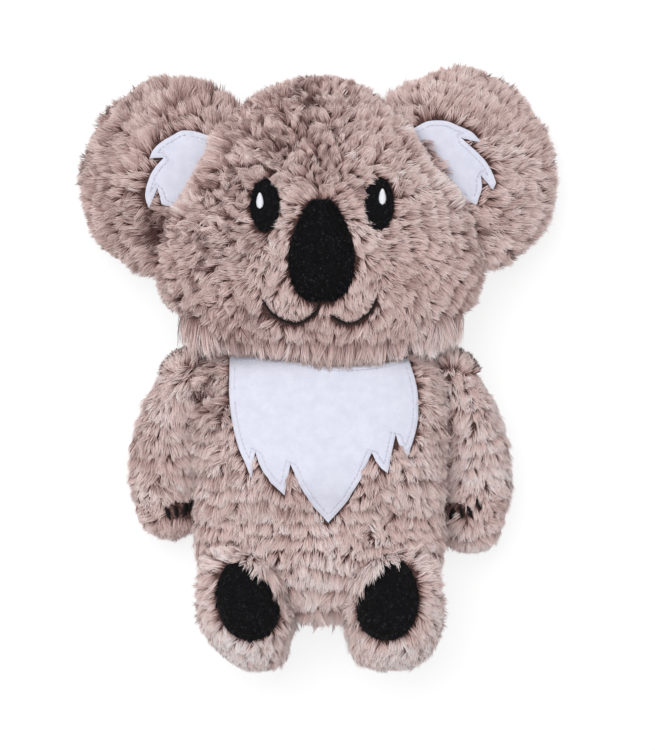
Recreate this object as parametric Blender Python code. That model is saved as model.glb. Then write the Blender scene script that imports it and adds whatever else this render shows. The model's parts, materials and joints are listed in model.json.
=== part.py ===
"""Plush koala, lying on its back with its face up.

Metres, +Z up, +Y towards the crown of the head, +X to the right of someone who looks down at the face.
The origin is on the surface that the koala lies on, under the middle of its outline. Fabric forms end at
the dense part of the pile. Every form is a loft: sections across its length that swell and taper.
Rows of a table of shares follow one form from its root to its tip.
"""

import math

import bmesh
import bpy
import numpy as np
from mathutils import Matrix, Vector

# Clearances, fabrics and the surface below
GAP = 0.0003  # between two pieces that touch
FLAT_CUT_DEPTH = 0.0005  # depth of the flats that the back and the head lie on
SKIN_THICKNESS = 0.005  # knitted backing with the dense part of its pile
FELT_THICKNESS = 0.0012
EMBROIDERY_THICKNESS = 0.0010
OVERRUN_LENGTH = 0.020  # how far a cutter reaches past what it cuts

# Exponents of the sections: 2 is an ellipse, and more is squarer
ROUNDNESS = 2.5
LIMB_ROUNDNESS = 2.3
HIP_ROUNDNESS = 4.0

# Neck: the body ends in a round edge about the neck axis, and the head has the hollow for it
NECK_Y = 0.0127
NECK_Z = 0.036
NECK_RADIUS = 0.024
NECK_LIP_GAP = 0.0007  # from the neck axis to the edge of the head
SOCKET_GAP = 0.0006  # round a neck, hip or ear root
NECK_MOUTH_WIDTH = 0.036
NECK_MOUTH_DEPTH = 0.010

# Hips: the body ends in a round edge about the hip axis, and the legs are hollowed to it
HIP_Y = -0.0984
HIP_Z = 0.038
HIP_RADIUS = 0.038

# Body
BODY_WIDTH = 0.137
BODY_DEPTH = 0.083
NECK_ARC_DEG = (72, 48, 24, 0, -16)
NECK_WIDTH_shares = (0.44, 0.59, 0.71, 0.80, 0.87)
HIP_ARC_DEG = (25, 0, -25, -50, -75)
HIP_WIDTH_shares = (0.97, 0.955, 0.89, 0.76, 0.58)
HIP_BACK_shares = (0.006, 0.018)
# Along from the neck axis to the hip axis, half width, front and back
BODY_ROWS_shares = (
    (0.105, 0.93, 0.837, 0.078),
    (0.204, 0.99, 0.898, 0.036),
    (0.366, 1.00, 0.946, 0.012),
    (0.564, 0.97, 1.00, 0.00),
    (0.726, 0.963, 0.976, 0.00),
)

# Head
HEAD_LENGTH = 0.1456
HEAD_WIDTH = 0.177
HEAD_DEPTH = 0.0785
# Along from the neck, half width, front and back
HEAD_ROWS_shares = (
    (0.00, 0.75, 0.81, 0.134),
    (0.025, 0.81, 0.88, 0.083),
    (0.08, 0.865, 0.935, 0.038),
    (0.17, 0.945, 0.98, 0.006),
    (0.272, 1.00, 1.00, 0.00),
    (0.402, 0.966, 0.994, 0.00),
    (0.533, 0.893, 0.962, 0.006),
    (0.663, 0.80, 0.91, 0.03),
    (0.787, 0.655, 0.83, 0.083),
    (0.89, 0.485, 0.72, 0.17),
    (0.962, 0.29, 0.62, 0.27),
    (0.997, 0.11, 0.535, 0.37),
)

# Ears: the middle of the seam, the way that the ear points, and its reach from the seam and span along it
EAR_SIDES = {
    "left": {"seam": (-0.0701, 0.1006), "points_deg": 154.9, "length": 0.0632, "width": 0.1044},
    "right": {"seam": (0.0661, 0.1036), "points_deg": 30.8, "length": 0.0660, "width": 0.1068},
}
EAR_SEAM_Z = 0.036
EAR_TILT_DEG = 20  # the outer edge lies back towards the surface
EAR_DEPTH = 0.032
EAR_ROOT_DEPTH = 0.012  # how deep the root sits in the hollow of the head
EAR_PINCH_share = 0.72  # thickness left at the seam
EAR_PINCH_LENGTH = 0.030
EAR_MOUTH_WIDTH = 0.070
EAR_MOUTH_DEPTH = 0.005
# Along the seam from its lower end (-1) to its upper end (1), root, rim and thickness
EAR_ROWS_shares = (
    (-1.00, -0.30, 0.28, 0.27),
    (-0.95, 0.33, 0.46, 0.50),
    (-0.83, 0.83, 0.67, 0.72),
    (-0.62, 1.00, 0.83, 0.88),
    (-0.34, 1.00, 0.945, 0.97),
    (0.00, 1.00, 1.00, 1.00),
    (0.31, 1.00, 0.985, 0.97),
    (0.60, 1.00, 0.87, 0.88),
    (0.80, 0.83, 0.76, 0.72),
    (0.93, 0.40, 0.59, 0.50),
    (1.00, -0.48, 0.40, 0.27),
)

# Arms: they lie along the sides and meet the body at a flat seam on each shoulder
SHOULDER_X = 0.067
SHOULDER_Y = -0.008
SHOULDER_Z = 0.030
ARM_TOP_Y = 0.007
ARM_TOP_Z = 0.032
ARM_DROP_HEIGHT = 0.012  # the hand lies lower than the shoulder
ARM_SWAY_WIDTH = 0.0182  # the hand lies further out than the shoulder
ARM_DEPTH = 0.039
ARM_SIDES = {
    "left": {"side": -1, "length": 0.0980, "width": 0.0360},
    "right": {"side": 1, "length": 0.1055, "width": 0.0370},
}
# Along, sway, half width, half depth and drop
ARM_ROWS_shares = (
    (0.00, 0.00, 0.33, 0.40, 0.00),
    (0.03, 0.03, 0.78, 0.72, 0.00),
    (0.11, 0.13, 0.95, 0.92, 0.17),
    (0.275, 0.56, 1.00, 1.00, 0.42),
    (0.48, 0.90, 1.00, 1.00, 0.71),
    (0.685, 1.00, 0.995, 0.975, 0.875),
    (0.837, 0.975, 0.905, 0.90, 1.00),
    (0.94, 0.92, 0.695, 0.69, 1.00),
    (1.00, 0.87, 0.305, 0.31, 1.00),
)

# Legs: short, with their soles turned to the front
LEG_TOP_Y = -0.099
LEG_LENGTH = 0.0640
LEG_HEIGHT = 0.086
LEG_SIDES = {
    "left": {"side": -1, "root_x": 0.0462, "toe_x": 0.0358, "width": 0.0520},
    "right": {"side": 1, "root_x": 0.0424, "toe_x": 0.0392, "width": 0.0540},
}
# Along, half width, front and back
LEG_ROWS_shares = (
    (0.00, 0.54, 0.905, 0.52),
    (0.055, 0.79, 0.95, 0.39),
    (0.158, 0.98, 0.983, 0.28),
    (0.35, 1.00, 1.00, 0.19),
    (0.554, 0.94, 0.988, 0.155),
    (0.744, 0.83, 0.936, 0.165),
    (0.886, 0.655, 0.837, 0.23),
    (0.965, 0.42, 0.73, 0.33),
    (1.00, 0.19, 0.63, 0.43),
)

# Foot pads, turned so that their upper ends lean outwards
PAD_HEIGHT = 0.0445
PAD_WIDTH = 0.0330
PAD_TAPER_share = 0.16
PAD_TURN_DEG = {"left": 20, "right": -14}
# Inwards from the middle of the leg by half widths, and down from its top by lengths of the leg
PAD_shares = {"left": (0.07, 0.415), "right": (0.13, 0.412)}

# Bib: a felt piece with five points, drawn from its top left corner round its left side
BIB_TOP_Y = 0.0040
BIB_LEFT_X = -0.0495
BIB_WIDTH = 0.1010
BIB_HEIGHT = 0.0876
BIB_ARC_STEPS = 3
# Across, down, and how far the edge that leads there bows outwards
BIB_EDGE_shares = (
    (0.00, 0.00, 0.00),
    (0.12, 0.725, 0.07),
    (0.14, 0.555, 0.00),
    (0.30, 0.825, 0.09),
    (0.33, 0.63, 0.00),
    (0.535, 1.00, 0.06),
    (0.77, 0.56, 0.06),
    (0.855, 0.69, 0.08),
    (0.90, 0.445, 0.00),
    (0.965, 0.585, 0.08),
    (0.98, 0.00, 0.10),
)

# Face
EYE_WIDTH = 0.0160
EYE_HEIGHT = 0.0285
EYE_CENTRES = {"left": (-0.0300, 0.0900), "right": (0.0322, 0.0910)}
GLINT_WIDTH = 0.0040
GLINT_HEIGHT = 0.0088
GLINT_TAPER_share = 0.3
GLINT_CENTRES = {"left": (-0.0328, 0.0924), "right": (0.0341, 0.0946)}
NOSE_CENTRE = (0.0008, 0.0655)
NOSE_WIDTH = 0.0372
NOSE_HEIGHT = 0.0590
NOSE_TAPER_share = 0.28
NOSE_DEPTH = 0.0085  # above the face
NOSE_DOME_POWER = 0.7  # below 1, the dome is blunter than a circle
NOSE_SEAT_Z = 0.0755
MOUTH_RADIUS = 0.0162
MOUTH_THREAD_WIDTH = 0.0018
MOUTH_ARCS = {
    "left": {"centre": (-0.0154, 0.0418), "from_deg": 176, "to_deg": 330},
    "right": {"centre": (0.0154, 0.0415), "from_deg": 222, "to_deg": 356},
}

# Claws, four embroidered strokes on each hand
CLAW_LENGTH = 0.0070
CLAW_WIDTH = 0.0022
# Inwards from the middle of the hand by half widths, up from its tip by lengths of the arm, and the turn
CLAW_shares = {
    "left": (
        (0.07, 0.127, 20),
        (0.32, 0.137, 8),
        (0.56, 0.149, -8),
        (0.76, 0.173, -22),
    ),
    "right": (
        (0.63, 0.185, -14),
        (0.39, 0.194, 14),
        (0.15, 0.197, 18),
        (-0.10, 0.237, 24),
    ),
}

# Felt in the ears: points from the lower inner corner round the rim, as shares of reach and half span
EAR_FELT_ROOT_DEPTH = 0.0060
EAR_FELT_shares = {
    "left": (
        (0.093, -0.34),
        (0.12, -0.30),
        (0.21, -0.165),
        (0.205, -0.395),
        (0.255, -0.335),
        (0.29, -0.255),
        (0.31, -0.10),
        (0.30, 0.03),
        (0.27, 0.15),
        (0.31, 0.13),
        (0.38, 0.08),
        (0.38, 0.18),
        (0.355, 0.275),
        (0.295, 0.39),
        (0.205, 0.515),
        (0.093, 0.60),
    ),
    "right": (
        (0.093, -0.41),
        (0.135, -0.365),
        (0.205, -0.285),
        (0.26, -0.155),
        (0.28, -0.35),
        (0.335, -0.305),
        (0.35, -0.17),
        (0.345, -0.03),
        (0.31, 0.14),
        (0.275, 0.28),
        (0.355, 0.18),
        (0.40, 0.14),
        (0.375, 0.275),
        (0.31, 0.395),
        (0.24, 0.51),
        (0.115, 0.60),
        (0.093, 0.615),
    ),
}

# Facets
SMOOTH_STEPS = 2  # rings from one row of a table to the next
BIG_SIDES = 24
LIMB_SIDES = 16
EAR_FACETS = 16
CAVITY_SIDES = 12
SOCKET_SIDES = 36
OUTLINE_POINTS = 22
GLINT_POINTS = 10
CLAW_POINTS = 8
NOSE_STEPS = 9


def clear_scene():
    for obj in list(bpy.data.objects):
        bpy.data.objects.remove(obj)


def material(name, colour, roughness):
    made = bpy.data.materials.new(name)
    made.use_nodes = True
    shader = made.node_tree.nodes["Principled BSDF"]
    shader.inputs["Base Color"].default_value = (*colour, 1.0)
    shader.inputs["Roughness"].default_value = roughness
    shader.inputs["Metallic"].default_value = 0.0
    made.diffuse_color = (*colour, 1.0)
    return made


def pivot(name, place, rotation=(0.0, 0.0, 0.0)):
    """An empty on a joint's axis, which carries the pieces that turn about it."""
    empty = bpy.data.objects.new(name, None)
    empty.location = place
    empty.rotation_euler = rotation
    bpy.context.collection.objects.link(empty)
    bpy.context.view_layer.update()
    return empty


def link(name, mesh, paint, carrier=None, local=False):
    """An object for this mesh. A mesh that isn't local is moved into its carrier's frame."""
    obj = bpy.data.objects.new(name, mesh)
    bpy.context.collection.objects.link(obj)
    if paint:
        mesh.materials.append(paint)
    if carrier:
        if not local:
            mesh.transform(carrier.matrix_world.inverted())
        obj.parent = carrier
    return obj


def helper(obj):
    obj.hide_render = True
    obj.display_type = "WIRE"
    return obj


def boolean(obj, cutter, operation="DIFFERENCE"):
    change = obj.modifiers.new(f"{operation.lower()} {cutter.name}", "BOOLEAN")
    change.operation = operation
    change.solver = "EXACT"
    change.object = cutter


def smooth(rows):
    """Rings on a smooth curve through the rows, with SMOOTH_STEPS rings for each row."""
    rows = np.asarray(rows, float)
    slopes = np.gradient(rows, axis=0)
    rings = []
    for index in range(len(rows) - 1):
        start, end = rows[index : index + 2]
        leave, arrive = slopes[index : index + 2]
        for step in range(SMOOTH_STEPS):
            t = step / SMOOTH_STEPS
            ease = t * t * (3 - 2 * t)
            rings.append(start + (end - start) * ease + leave * t * (1 - t) ** 2 - arrive * t * t * (1 - t))
    rings.append(rows[-1])
    return np.array(rings)


def loft(name, rings, sides, section):
    """A closed mesh through the sections of these rings. Its first and last sections are flat faces."""
    shape = bmesh.new()
    loops = [[shape.verts.new(point) for point in section(ring, sides)] for ring in rings]
    for lower, upper in zip(loops, loops[1:]):
        for index in range(sides):
            after = (index + 1) % sides
            shape.faces.new((lower[index], lower[after], upper[after], upper[index]))
    shape.faces.new(loops[0])
    shape.faces.new(loops[-1])
    bmesh.ops.recalc_face_normals(shape, faces=shape.faces)
    bmesh.ops.triangulate(shape, faces=shape.faces)
    mesh = bpy.data.meshes.new(name)
    shape.to_mesh(mesh)
    shape.free()
    mesh.shade_smooth()
    return mesh


def grown(mesh, distance):
    """A copy of the mesh, its surface moved outwards, or inwards by a negative distance."""
    shape = bmesh.new()
    shape.from_mesh(mesh)
    shape.normal_update()
    for vert in shape.verts:
        vert.co += vert.normal * distance
    copy = bpy.data.meshes.new(mesh.name)
    shape.to_mesh(copy)
    shape.free()
    return copy


def round_section(ring, sides):
    """The section of a body, head or limb. A ring is y, x, half width, front z, back z and roundness."""
    y, x, half, front, back, roundness = ring
    for index in range(sides):
        angle = math.tau * index / sides
        across, up = math.cos(angle), math.sin(angle)
        across = math.copysign(abs(across) ** (2 / roundness), across)
        up = math.copysign(abs(up) ** (2 / roundness), up)
        yield Vector((x + half * across, y, (front + back) / 2 + (front - back) / 2 * up))


def ear_section(side):
    """The section of an ear, thinned towards its root. A ring is y, root, rim and half thickness."""

    def section(ring, sides):
        y, root, rim, thick = ring
        for index in range(sides):
            angle = math.tau * index / sides
            out = (root + rim) / 2 + (rim - root) / 2 * math.cos(angle)
            far = min(1.0, max(0.0, out / EAR_PINCH_LENGTH))
            pinch = EAR_PINCH_share + (1 - EAR_PINCH_share) * far * far * (3 - 2 * far)
            yield Vector((side * out, y, thick * pinch * math.sin(angle)))

    return section


def slab(name, low, high, carrier=None):
    """A box from its low corner to its high one, as a cutter."""
    shape = bmesh.new()
    bmesh.ops.create_cube(shape, size=1.0)
    low, high = Vector(low), Vector(high)
    for vert in shape.verts:
        vert.co = (low + high) / 2 + Vector(a * b for a, b in zip(vert.co, high - low))
    mesh = bpy.data.meshes.new(name)
    shape.to_mesh(mesh)
    shape.free()
    return helper(link(name, mesh, None, carrier, local=True))


def socket(name, radius, length, along, carrier):
    """A round cutter about an axis of its carrier, X or Y."""
    shape = bmesh.new()
    bmesh.ops.create_cone(
        shape, cap_ends=True, segments=SOCKET_SIDES, radius1=radius, radius2=radius, depth=length
    )
    turn = Matrix.Rotation(math.pi / 2, 3, "Y" if along == "X" else "X")
    bmesh.ops.rotate(shape, matrix=turn, verts=shape.verts)
    mesh = bpy.data.meshes.new(name)
    shape.to_mesh(mesh)
    shape.free()
    return helper(link(name, mesh, None, carrier, local=True))


def skin_and_stuffing(name, outer, inner, paints, carrier, cutters, mouth=None, local=False):
    """The fabric shell of a form and what fills it, both cut where they meet a larger form."""
    skin = link(name, outer, paints["plush"], carrier, local)
    cavity = helper(link(f"{name}_cavity", inner, None, carrier, local))
    stuffing = link(f"{name}_stuffing", grown(inner, -GAP), paints["stuffing"], carrier, local=True)
    for cutter in cutters:
        boolean(skin, cutter)
        boolean(stuffing, cutter)
    boolean(skin, cavity)
    if mouth:
        boolean(skin, mouth)
    return skin


def prism(name, outline, low, high):
    """An upright block with this outline."""
    shape = bmesh.new()
    face = shape.faces.new([shape.verts.new((x, y, low)) for x, y in outline])
    raised = bmesh.ops.extrude_face_region(shape, geom=[face])
    lifted = [item for item in raised["geom"] if isinstance(item, bmesh.types.BMVert)]
    bmesh.ops.translate(shape, verts=lifted, vec=(0.0, 0.0, high - low))
    bmesh.ops.recalc_face_normals(shape, faces=shape.faces)
    mesh = bpy.data.meshes.new(name)
    shape.to_mesh(mesh)
    shape.free()
    return mesh


def sewn_on(name, outline, form, thickness, paint, carrier, lift=GAP, local=False):
    """A thin piece with this outline that follows the front of a form, lifted off it by a gap."""
    heights = [vert.co.z for vert in form.vertices]
    middle = (min(heights) + max(heights)) / 2
    piece = link(name, prism(name, outline, middle, max(heights) + OVERRUN_LENGTH), paint, carrier, local)
    top = helper(link(f"{name}_top", grown(form, lift + thickness), None, carrier, local))
    under = helper(link(f"{name}_under", grown(form, lift), None, carrier, local))
    boolean(piece, top, "INTERSECT")
    boolean(piece, under)
    return piece


def egg(centre, width, height, taper=0.0, turn_deg=0.0, count=OUTLINE_POINTS):
    """An oval outline, narrower at its upper end by the taper, turned about its centre."""
    angles = np.arange(count) * math.tau / count
    across = np.sin(angles) * (1 - taper * np.cos(angles))
    across *= width / 2 / across.max()
    up = np.cos(angles) * height / 2
    turn = math.radians(turn_deg)
    x = centre[0] + across * math.cos(turn) - up * math.sin(turn)
    y = centre[1] + across * math.sin(turn) + up * math.cos(turn)
    return list(zip(x, y))


def arc_band(centre, radius, width, from_deg, to_deg, count=OUTLINE_POINTS // 2):
    """The outline of a thread laid along an arc."""
    angles = np.radians(np.linspace(from_deg, to_deg, count))
    outline = []
    for reach, turn in ((radius + width / 2, angles), (radius - width / 2, angles[::-1])):
        outline += [(centre[0] + reach * math.cos(a), centre[1] + reach * math.sin(a)) for a in turn]
    return outline


def bowed(corners, steps):
    """The closed outline through corners of x, y and bow, the share of its length by which an edge bows."""
    outline = []
    for start, end in zip([corners[-1], *corners], corners):
        along = np.subtract(end[:2], start[:2])
        out = np.array((along[1], -along[0]))
        for step in range(1, steps + 1):
            t = step / steps
            outline.append(tuple(start[:2] + along * t + out * end[2] * 4 * t * (1 - t)))
    return outline


def body_rows():
    rows = []
    half = BODY_WIDTH / 2
    for turn, share in zip(NECK_ARC_DEG, NECK_WIDTH_shares):
        rise = NECK_RADIUS * math.cos(math.radians(turn))
        y = NECK_Y + NECK_RADIUS * math.sin(math.radians(turn))
        rows.append((y, 0.0, share * half, NECK_Z + rise, NECK_Z - rise, ROUNDNESS))
    for along, wide, front, back in BODY_ROWS_shares:
        y = NECK_Y + along * (HIP_Y - NECK_Y)
        roundness = ROUNDNESS + along * (HIP_ROUNDNESS - ROUNDNESS)
        low = back * BODY_DEPTH - FLAT_CUT_DEPTH
        rows.append((y, 0.0, wide * half, front * BODY_DEPTH - FLAT_CUT_DEPTH, low, roundness))
    for index, (turn, share) in enumerate(zip(HIP_ARC_DEG, HIP_WIDTH_shares)):
        rise = HIP_RADIUS * math.cos(math.radians(turn))
        y = HIP_Y + HIP_RADIUS * math.sin(math.radians(turn))
        on_surface = index < len(HIP_BACK_shares)
        back = HIP_BACK_shares[index] * BODY_DEPTH if on_surface else HIP_Z - rise
        rows.append((y, 0.0, share * half, HIP_Z + rise, back, HIP_ROUNDNESS))
    return rows


def head_rows():
    rows = []
    for along, wide, front, back in HEAD_ROWS_shares:
        y = NECK_Y + NECK_LIP_GAP + along * HEAD_LENGTH
        half, low = wide * HEAD_WIDTH / 2, back * HEAD_DEPTH - FLAT_CUT_DEPTH
        rows.append((y, 0.0, half, front * HEAD_DEPTH - FLAT_CUT_DEPTH, low, ROUNDNESS))
    return rows


def arm_rows(side, length, width):
    rows = []
    for along, sway, wide, deep, drop in ARM_ROWS_shares:
        x = side * (SHOULDER_X + sway * ARM_SWAY_WIDTH)
        z = ARM_TOP_Z - drop * ARM_DROP_HEIGHT
        rise = deep * ARM_DEPTH / 2
        y = ARM_TOP_Y - along * length
        rows.append((y, x, wide * width / 2, z + rise, z - rise, LIMB_ROUNDNESS))
    return rows


def leg_rows(side, root_x, toe_x, width):
    rows = []
    for along, wide, front, back in LEG_ROWS_shares:
        x = side * (root_x + along * (toe_x - root_x))
        y, half = LEG_TOP_Y - along * LEG_LENGTH, wide * width / 2
        rows.append((y, x, half, front * LEG_HEIGHT, back * LEG_HEIGHT, LIMB_ROUNDNESS))
    return rows


def ear_rings(reach, span, shrink=0.0):
    """The rings of an ear, or of its cavity, which is smaller all round by the shrink."""
    rows = []
    for along, root, rim, thick in EAR_ROWS_shares:
        half = thick * EAR_DEPTH / 2 - shrink
        if half > GAP:
            inner, outer = -root * EAR_ROOT_DEPTH + shrink, rim * reach - shrink
            rows.append((along * (span / 2 - shrink), inner, outer, half))
    return rows


def nose_rows(shrink=0.0):
    """The nose as a domed egg, its middle plane at the face."""
    rows = []
    for index in range(1, NOSE_STEPS):
        angle = math.pi * index / NOSE_STEPS
        width = math.sin(angle) * (1 + NOSE_TAPER_share * math.cos(angle))
        y = NOSE_CENTRE[1] - (NOSE_HEIGHT / 2 - shrink) * math.cos(angle)
        rise = (NOSE_DEPTH - shrink) * math.sin(angle) ** NOSE_DOME_POWER
        half = width * (NOSE_WIDTH / 2 - shrink)
        rows.append((y, NOSE_CENTRE[0], half, NOSE_SEAT_Z + rise, NOSE_SEAT_Z - rise, LIMB_ROUNDNESS))
    return rows


def make_body(paints):
    outer = loft("body", smooth(body_rows()), BIG_SIDES, round_section)
    inner = grown(loft("body_inside", body_rows(), CAVITY_SIDES, round_section), -SKIN_THICKNESS)
    wide, long, below = BODY_WIDTH, HEAD_LENGTH + BODY_WIDTH, -OVERRUN_LENGTH
    past = SHOULDER_X + OVERRUN_LENGTH
    floor = slab("body_floor", (-wide, -long, below), (wide, long, 0.0))
    sides = [
        slab("left_side", (-past, -long, below), (-SHOULDER_X, long, BODY_DEPTH)),
        slab("right_side", (SHOULDER_X, -long, below), (past, long, BODY_DEPTH)),
    ]
    half, rise = NECK_MOUTH_WIDTH / 2, NECK_MOUTH_DEPTH / 2
    mouth = slab(
        "neck_mouth",
        (-half, NECK_Y, NECK_Z - rise),
        (half, NECK_Y + NECK_RADIUS + OVERRUN_LENGTH, NECK_Z + rise),
    )
    form = outer.copy()
    skin_and_stuffing("body", outer, inner, paints, None, [floor, *sides], mouth)
    corners = [
        (BIB_LEFT_X + across * BIB_WIDTH, BIB_TOP_Y - down * BIB_HEIGHT, bow)
        for across, down, bow in BIB_EDGE_shares
    ]
    outline = bowed(corners, BIB_ARC_STEPS)
    sewn_on("bib", outline, form, FELT_THICKNESS, paints["white_felt"], None)


def make_head(paints):
    carrier = pivot("neck_pivot", (0.0, NECK_Y, NECK_Z))
    outer = loft("head", smooth(head_rows()), BIG_SIDES, round_section)
    inner = grown(loft("head_inside", head_rows(), CAVITY_SIDES, round_section), -SKIN_THICKNESS)
    form = outer.copy()
    crown = NECK_Y + HEAD_LENGTH + OVERRUN_LENGTH
    floor = slab("head_floor", (-HEAD_WIDTH, NECK_Y, -OVERRUN_LENGTH), (HEAD_WIDTH, crown, 0.0))
    neck = socket("neck_socket", NECK_RADIUS + SOCKET_GAP, HEAD_WIDTH + OVERRUN_LENGTH, "X", carrier)
    cutters = [floor, neck]
    for name, ear in EAR_SIDES.items():
        seat = ear_pivot(f"{name}_ear_seat", ear)
        side = 1 if ear["seam"][0] > 0 else -1
        reach, half = side * HEAD_DEPTH, ear["width"] / 2 + OVERRUN_LENGTH
        groove = socket(f"{name}_ear_socket", EAR_ROOT_DEPTH + SOCKET_GAP, 2 * half, "Y", seat)
        low = (min(0.0, reach), -half, -HEAD_DEPTH)
        high = (max(0.0, reach), half, HEAD_DEPTH)
        cutters += [groove, slab(f"{name}_ear_face", low, high, seat)]
    skin_and_stuffing("head", outer, inner, paints, carrier, cutters)
    return carrier, form


def make_face(paints, carrier, form):
    black = paints["black_felt"]
    for name, centre in EYE_CENTRES.items():
        sewn_on(f"{name}_eye", egg(centre, EYE_WIDTH, EYE_HEIGHT), form, FELT_THICKNESS, black, carrier)
        centre, lift = GLINT_CENTRES[name], GAP + FELT_THICKNESS + GAP
        glint = egg(centre, GLINT_WIDTH, GLINT_HEIGHT, GLINT_TAPER_share, 0.0, GLINT_POINTS)
        white = paints["white_thread"]
        sewn_on(f"{name}_eye_glint", glint, form, EMBROIDERY_THICKNESS, white, carrier, lift)
    for name, arc in MOUTH_ARCS.items():
        band = arc_band(arc["centre"], MOUTH_RADIUS, MOUTH_THREAD_WIDTH, arc["from_deg"], arc["to_deg"])
        sewn_on(f"mouth_{name}", band, form, EMBROIDERY_THICKNESS, paints["black_thread"], carrier)
    face = helper(link("nose_seat", grown(form, GAP), None, carrier))
    outer = loft("nose", nose_rows(), LIMB_SIDES, round_section)
    inner = loft("nose_inside", nose_rows(FELT_THICKNESS), LIMB_SIDES, round_section)
    nose = link("nose", outer, black, carrier)
    wadding = link("nose_wadding", grown(inner, -GAP), paints["stuffing"], carrier)
    inside = helper(link("nose_cavity", inner, None, carrier))
    boolean(nose, face)
    boolean(nose, inside)
    boolean(wadding, face)


def ear_pivot(name, ear):
    side = 1 if ear["seam"][0] > 0 else -1
    turn = math.radians(ear["points_deg"] - (0 if side > 0 else 180))
    return pivot(name, (*ear["seam"], EAR_SEAM_Z), (0.0, side * math.radians(EAR_TILT_DEG), turn))


def make_ear(name, ear, paints, head_pivot):
    side = 1 if ear["seam"][0] > 0 else -1
    carrier = ear_pivot(f"{name}_ear_pivot", ear)
    section = ear_section(side)
    outer = loft(f"{name}_ear", smooth(ear_rings(ear["length"], ear["width"])), EAR_FACETS, section)
    inside = ear_rings(ear["length"], ear["width"], SKIN_THICKNESS)
    inner = loft(f"{name}_inside", inside, CAVITY_SIDES, section)
    form = outer.copy()
    behind, within = EAR_ROOT_DEPTH + OVERRUN_LENGTH, EAR_ROOT_DEPTH - SKIN_THICKNESS - FELT_THICKNESS
    ends = (-side * behind, -side * within)
    half, rise = EAR_MOUTH_WIDTH / 2, EAR_MOUTH_DEPTH / 2
    mouth = slab(f"{name}_ear_mouth", (min(ends), -half, -rise), (max(ends), half, rise), carrier)
    skin_and_stuffing(f"{name}_ear", outer, inner, paints, carrier, [], mouth, local=True)
    points = [
        (side * max(out * ear["length"], EAR_FELT_ROOT_DEPTH), along * ear["width"] / 2)
        for out, along in EAR_FELT_shares[name]
    ]
    sewn_on(f"{name}_ear_felt", points, form, FELT_THICKNESS, paints["white_felt"], carrier, local=True)
    place = carrier.matrix_world.copy()
    carrier.parent = head_pivot
    carrier.matrix_parent_inverse = head_pivot.matrix_world.inverted()
    carrier.matrix_world = place


def make_arm(name, arm, paints):
    carrier = pivot(f"{name}_shoulder_pivot", (arm["side"] * SHOULDER_X, SHOULDER_Y, SHOULDER_Z))
    rows = arm_rows(arm["side"], arm["length"], arm["width"])
    outer = loft(f"{name}_arm", smooth(rows), LIMB_SIDES, round_section)
    inner = grown(loft(f"{name}_arm_inside", rows, CAVITY_SIDES, round_section), -SKIN_THICKNESS)
    form = outer.copy()
    face = SHOULDER_X + GAP
    long = ARM_TOP_Y + arm["length"] + OVERRUN_LENGTH
    side = slab(f"{name}_arm_face", (-face, -long, -OVERRUN_LENGTH), (face, long, BODY_DEPTH))
    skin_and_stuffing(f"{name}_arm", outer, inner, paints, carrier, [side])
    hand_x, hand_y = arm["side"] * (SHOULDER_X + ARM_SWAY_WIDTH), ARM_TOP_Y - arm["length"]
    for number, (inwards, up, turn_deg) in enumerate(CLAW_shares[name], 1):
        place = (hand_x - arm["side"] * inwards * arm["width"] / 2, hand_y + up * arm["length"])
        stroke = egg(place, CLAW_WIDTH, CLAW_LENGTH, 0.0, turn_deg, CLAW_POINTS)
        black = paints["black_thread"]
        sewn_on(f"{name}_claw_{number}", stroke, form, EMBROIDERY_THICKNESS, black, carrier)


def make_leg(name, leg, paints):
    carrier = pivot(f"{name}_hip_pivot", (leg["side"] * leg["root_x"], HIP_Y, HIP_Z))
    rows = leg_rows(**leg)
    outer = loft(f"{name}_leg", smooth(rows), LIMB_SIDES, round_section)
    inner = grown(loft(f"{name}_leg_inside", rows, CAVITY_SIDES, round_section), -SKIN_THICKNESS)
    form = outer.copy()
    hip = socket(f"{name}_hip_socket", HIP_RADIUS + SOCKET_GAP, leg["width"] + OVERRUN_LENGTH, "X", carrier)
    skin_and_stuffing(f"{name}_leg", outer, inner, paints, carrier, [hip])
    inwards, down = PAD_shares[name]
    middle = leg["root_x"] + down * (leg["toe_x"] - leg["root_x"]) - inwards * leg["width"] / 2
    place = (leg["side"] * middle, LEG_TOP_Y - down * LEG_LENGTH)
    outline = egg(place, PAD_WIDTH, PAD_HEIGHT, PAD_TAPER_share, PAD_TURN_DEG[name])
    pad = sewn_on(f"{name}_foot_pad", outline, form, FELT_THICKNESS, paints["black_felt"], carrier)
    boolean(pad, hip)


def make_koala():
    paints = {
        "plush": material("taupe plush", (0.50, 0.37, 0.33), 0.95),
        "stuffing": material("polyester stuffing", (0.85, 0.84, 0.80), 1.0),
        "white_felt": material("white felt", (0.80, 0.78, 0.82), 0.95),
        "black_felt": material("black brushed felt", (0.012, 0.012, 0.014), 0.9),
        "black_thread": material("black thread", (0.015, 0.013, 0.014), 0.7),
        "white_thread": material("white thread", (0.80, 0.79, 0.84), 0.6),
    }
    make_body(paints)
    head_pivot, face_form = make_head(paints)
    make_face(paints, head_pivot, face_form)
    for name, ear in EAR_SIDES.items():
        make_ear(name, ear, paints, head_pivot)
    for name, arm in ARM_SIDES.items():
        make_arm(name, arm, paints)
    for name, leg in LEG_SIDES.items():
        make_leg(name, leg, paints)


clear_scene()
make_koala()
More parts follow.
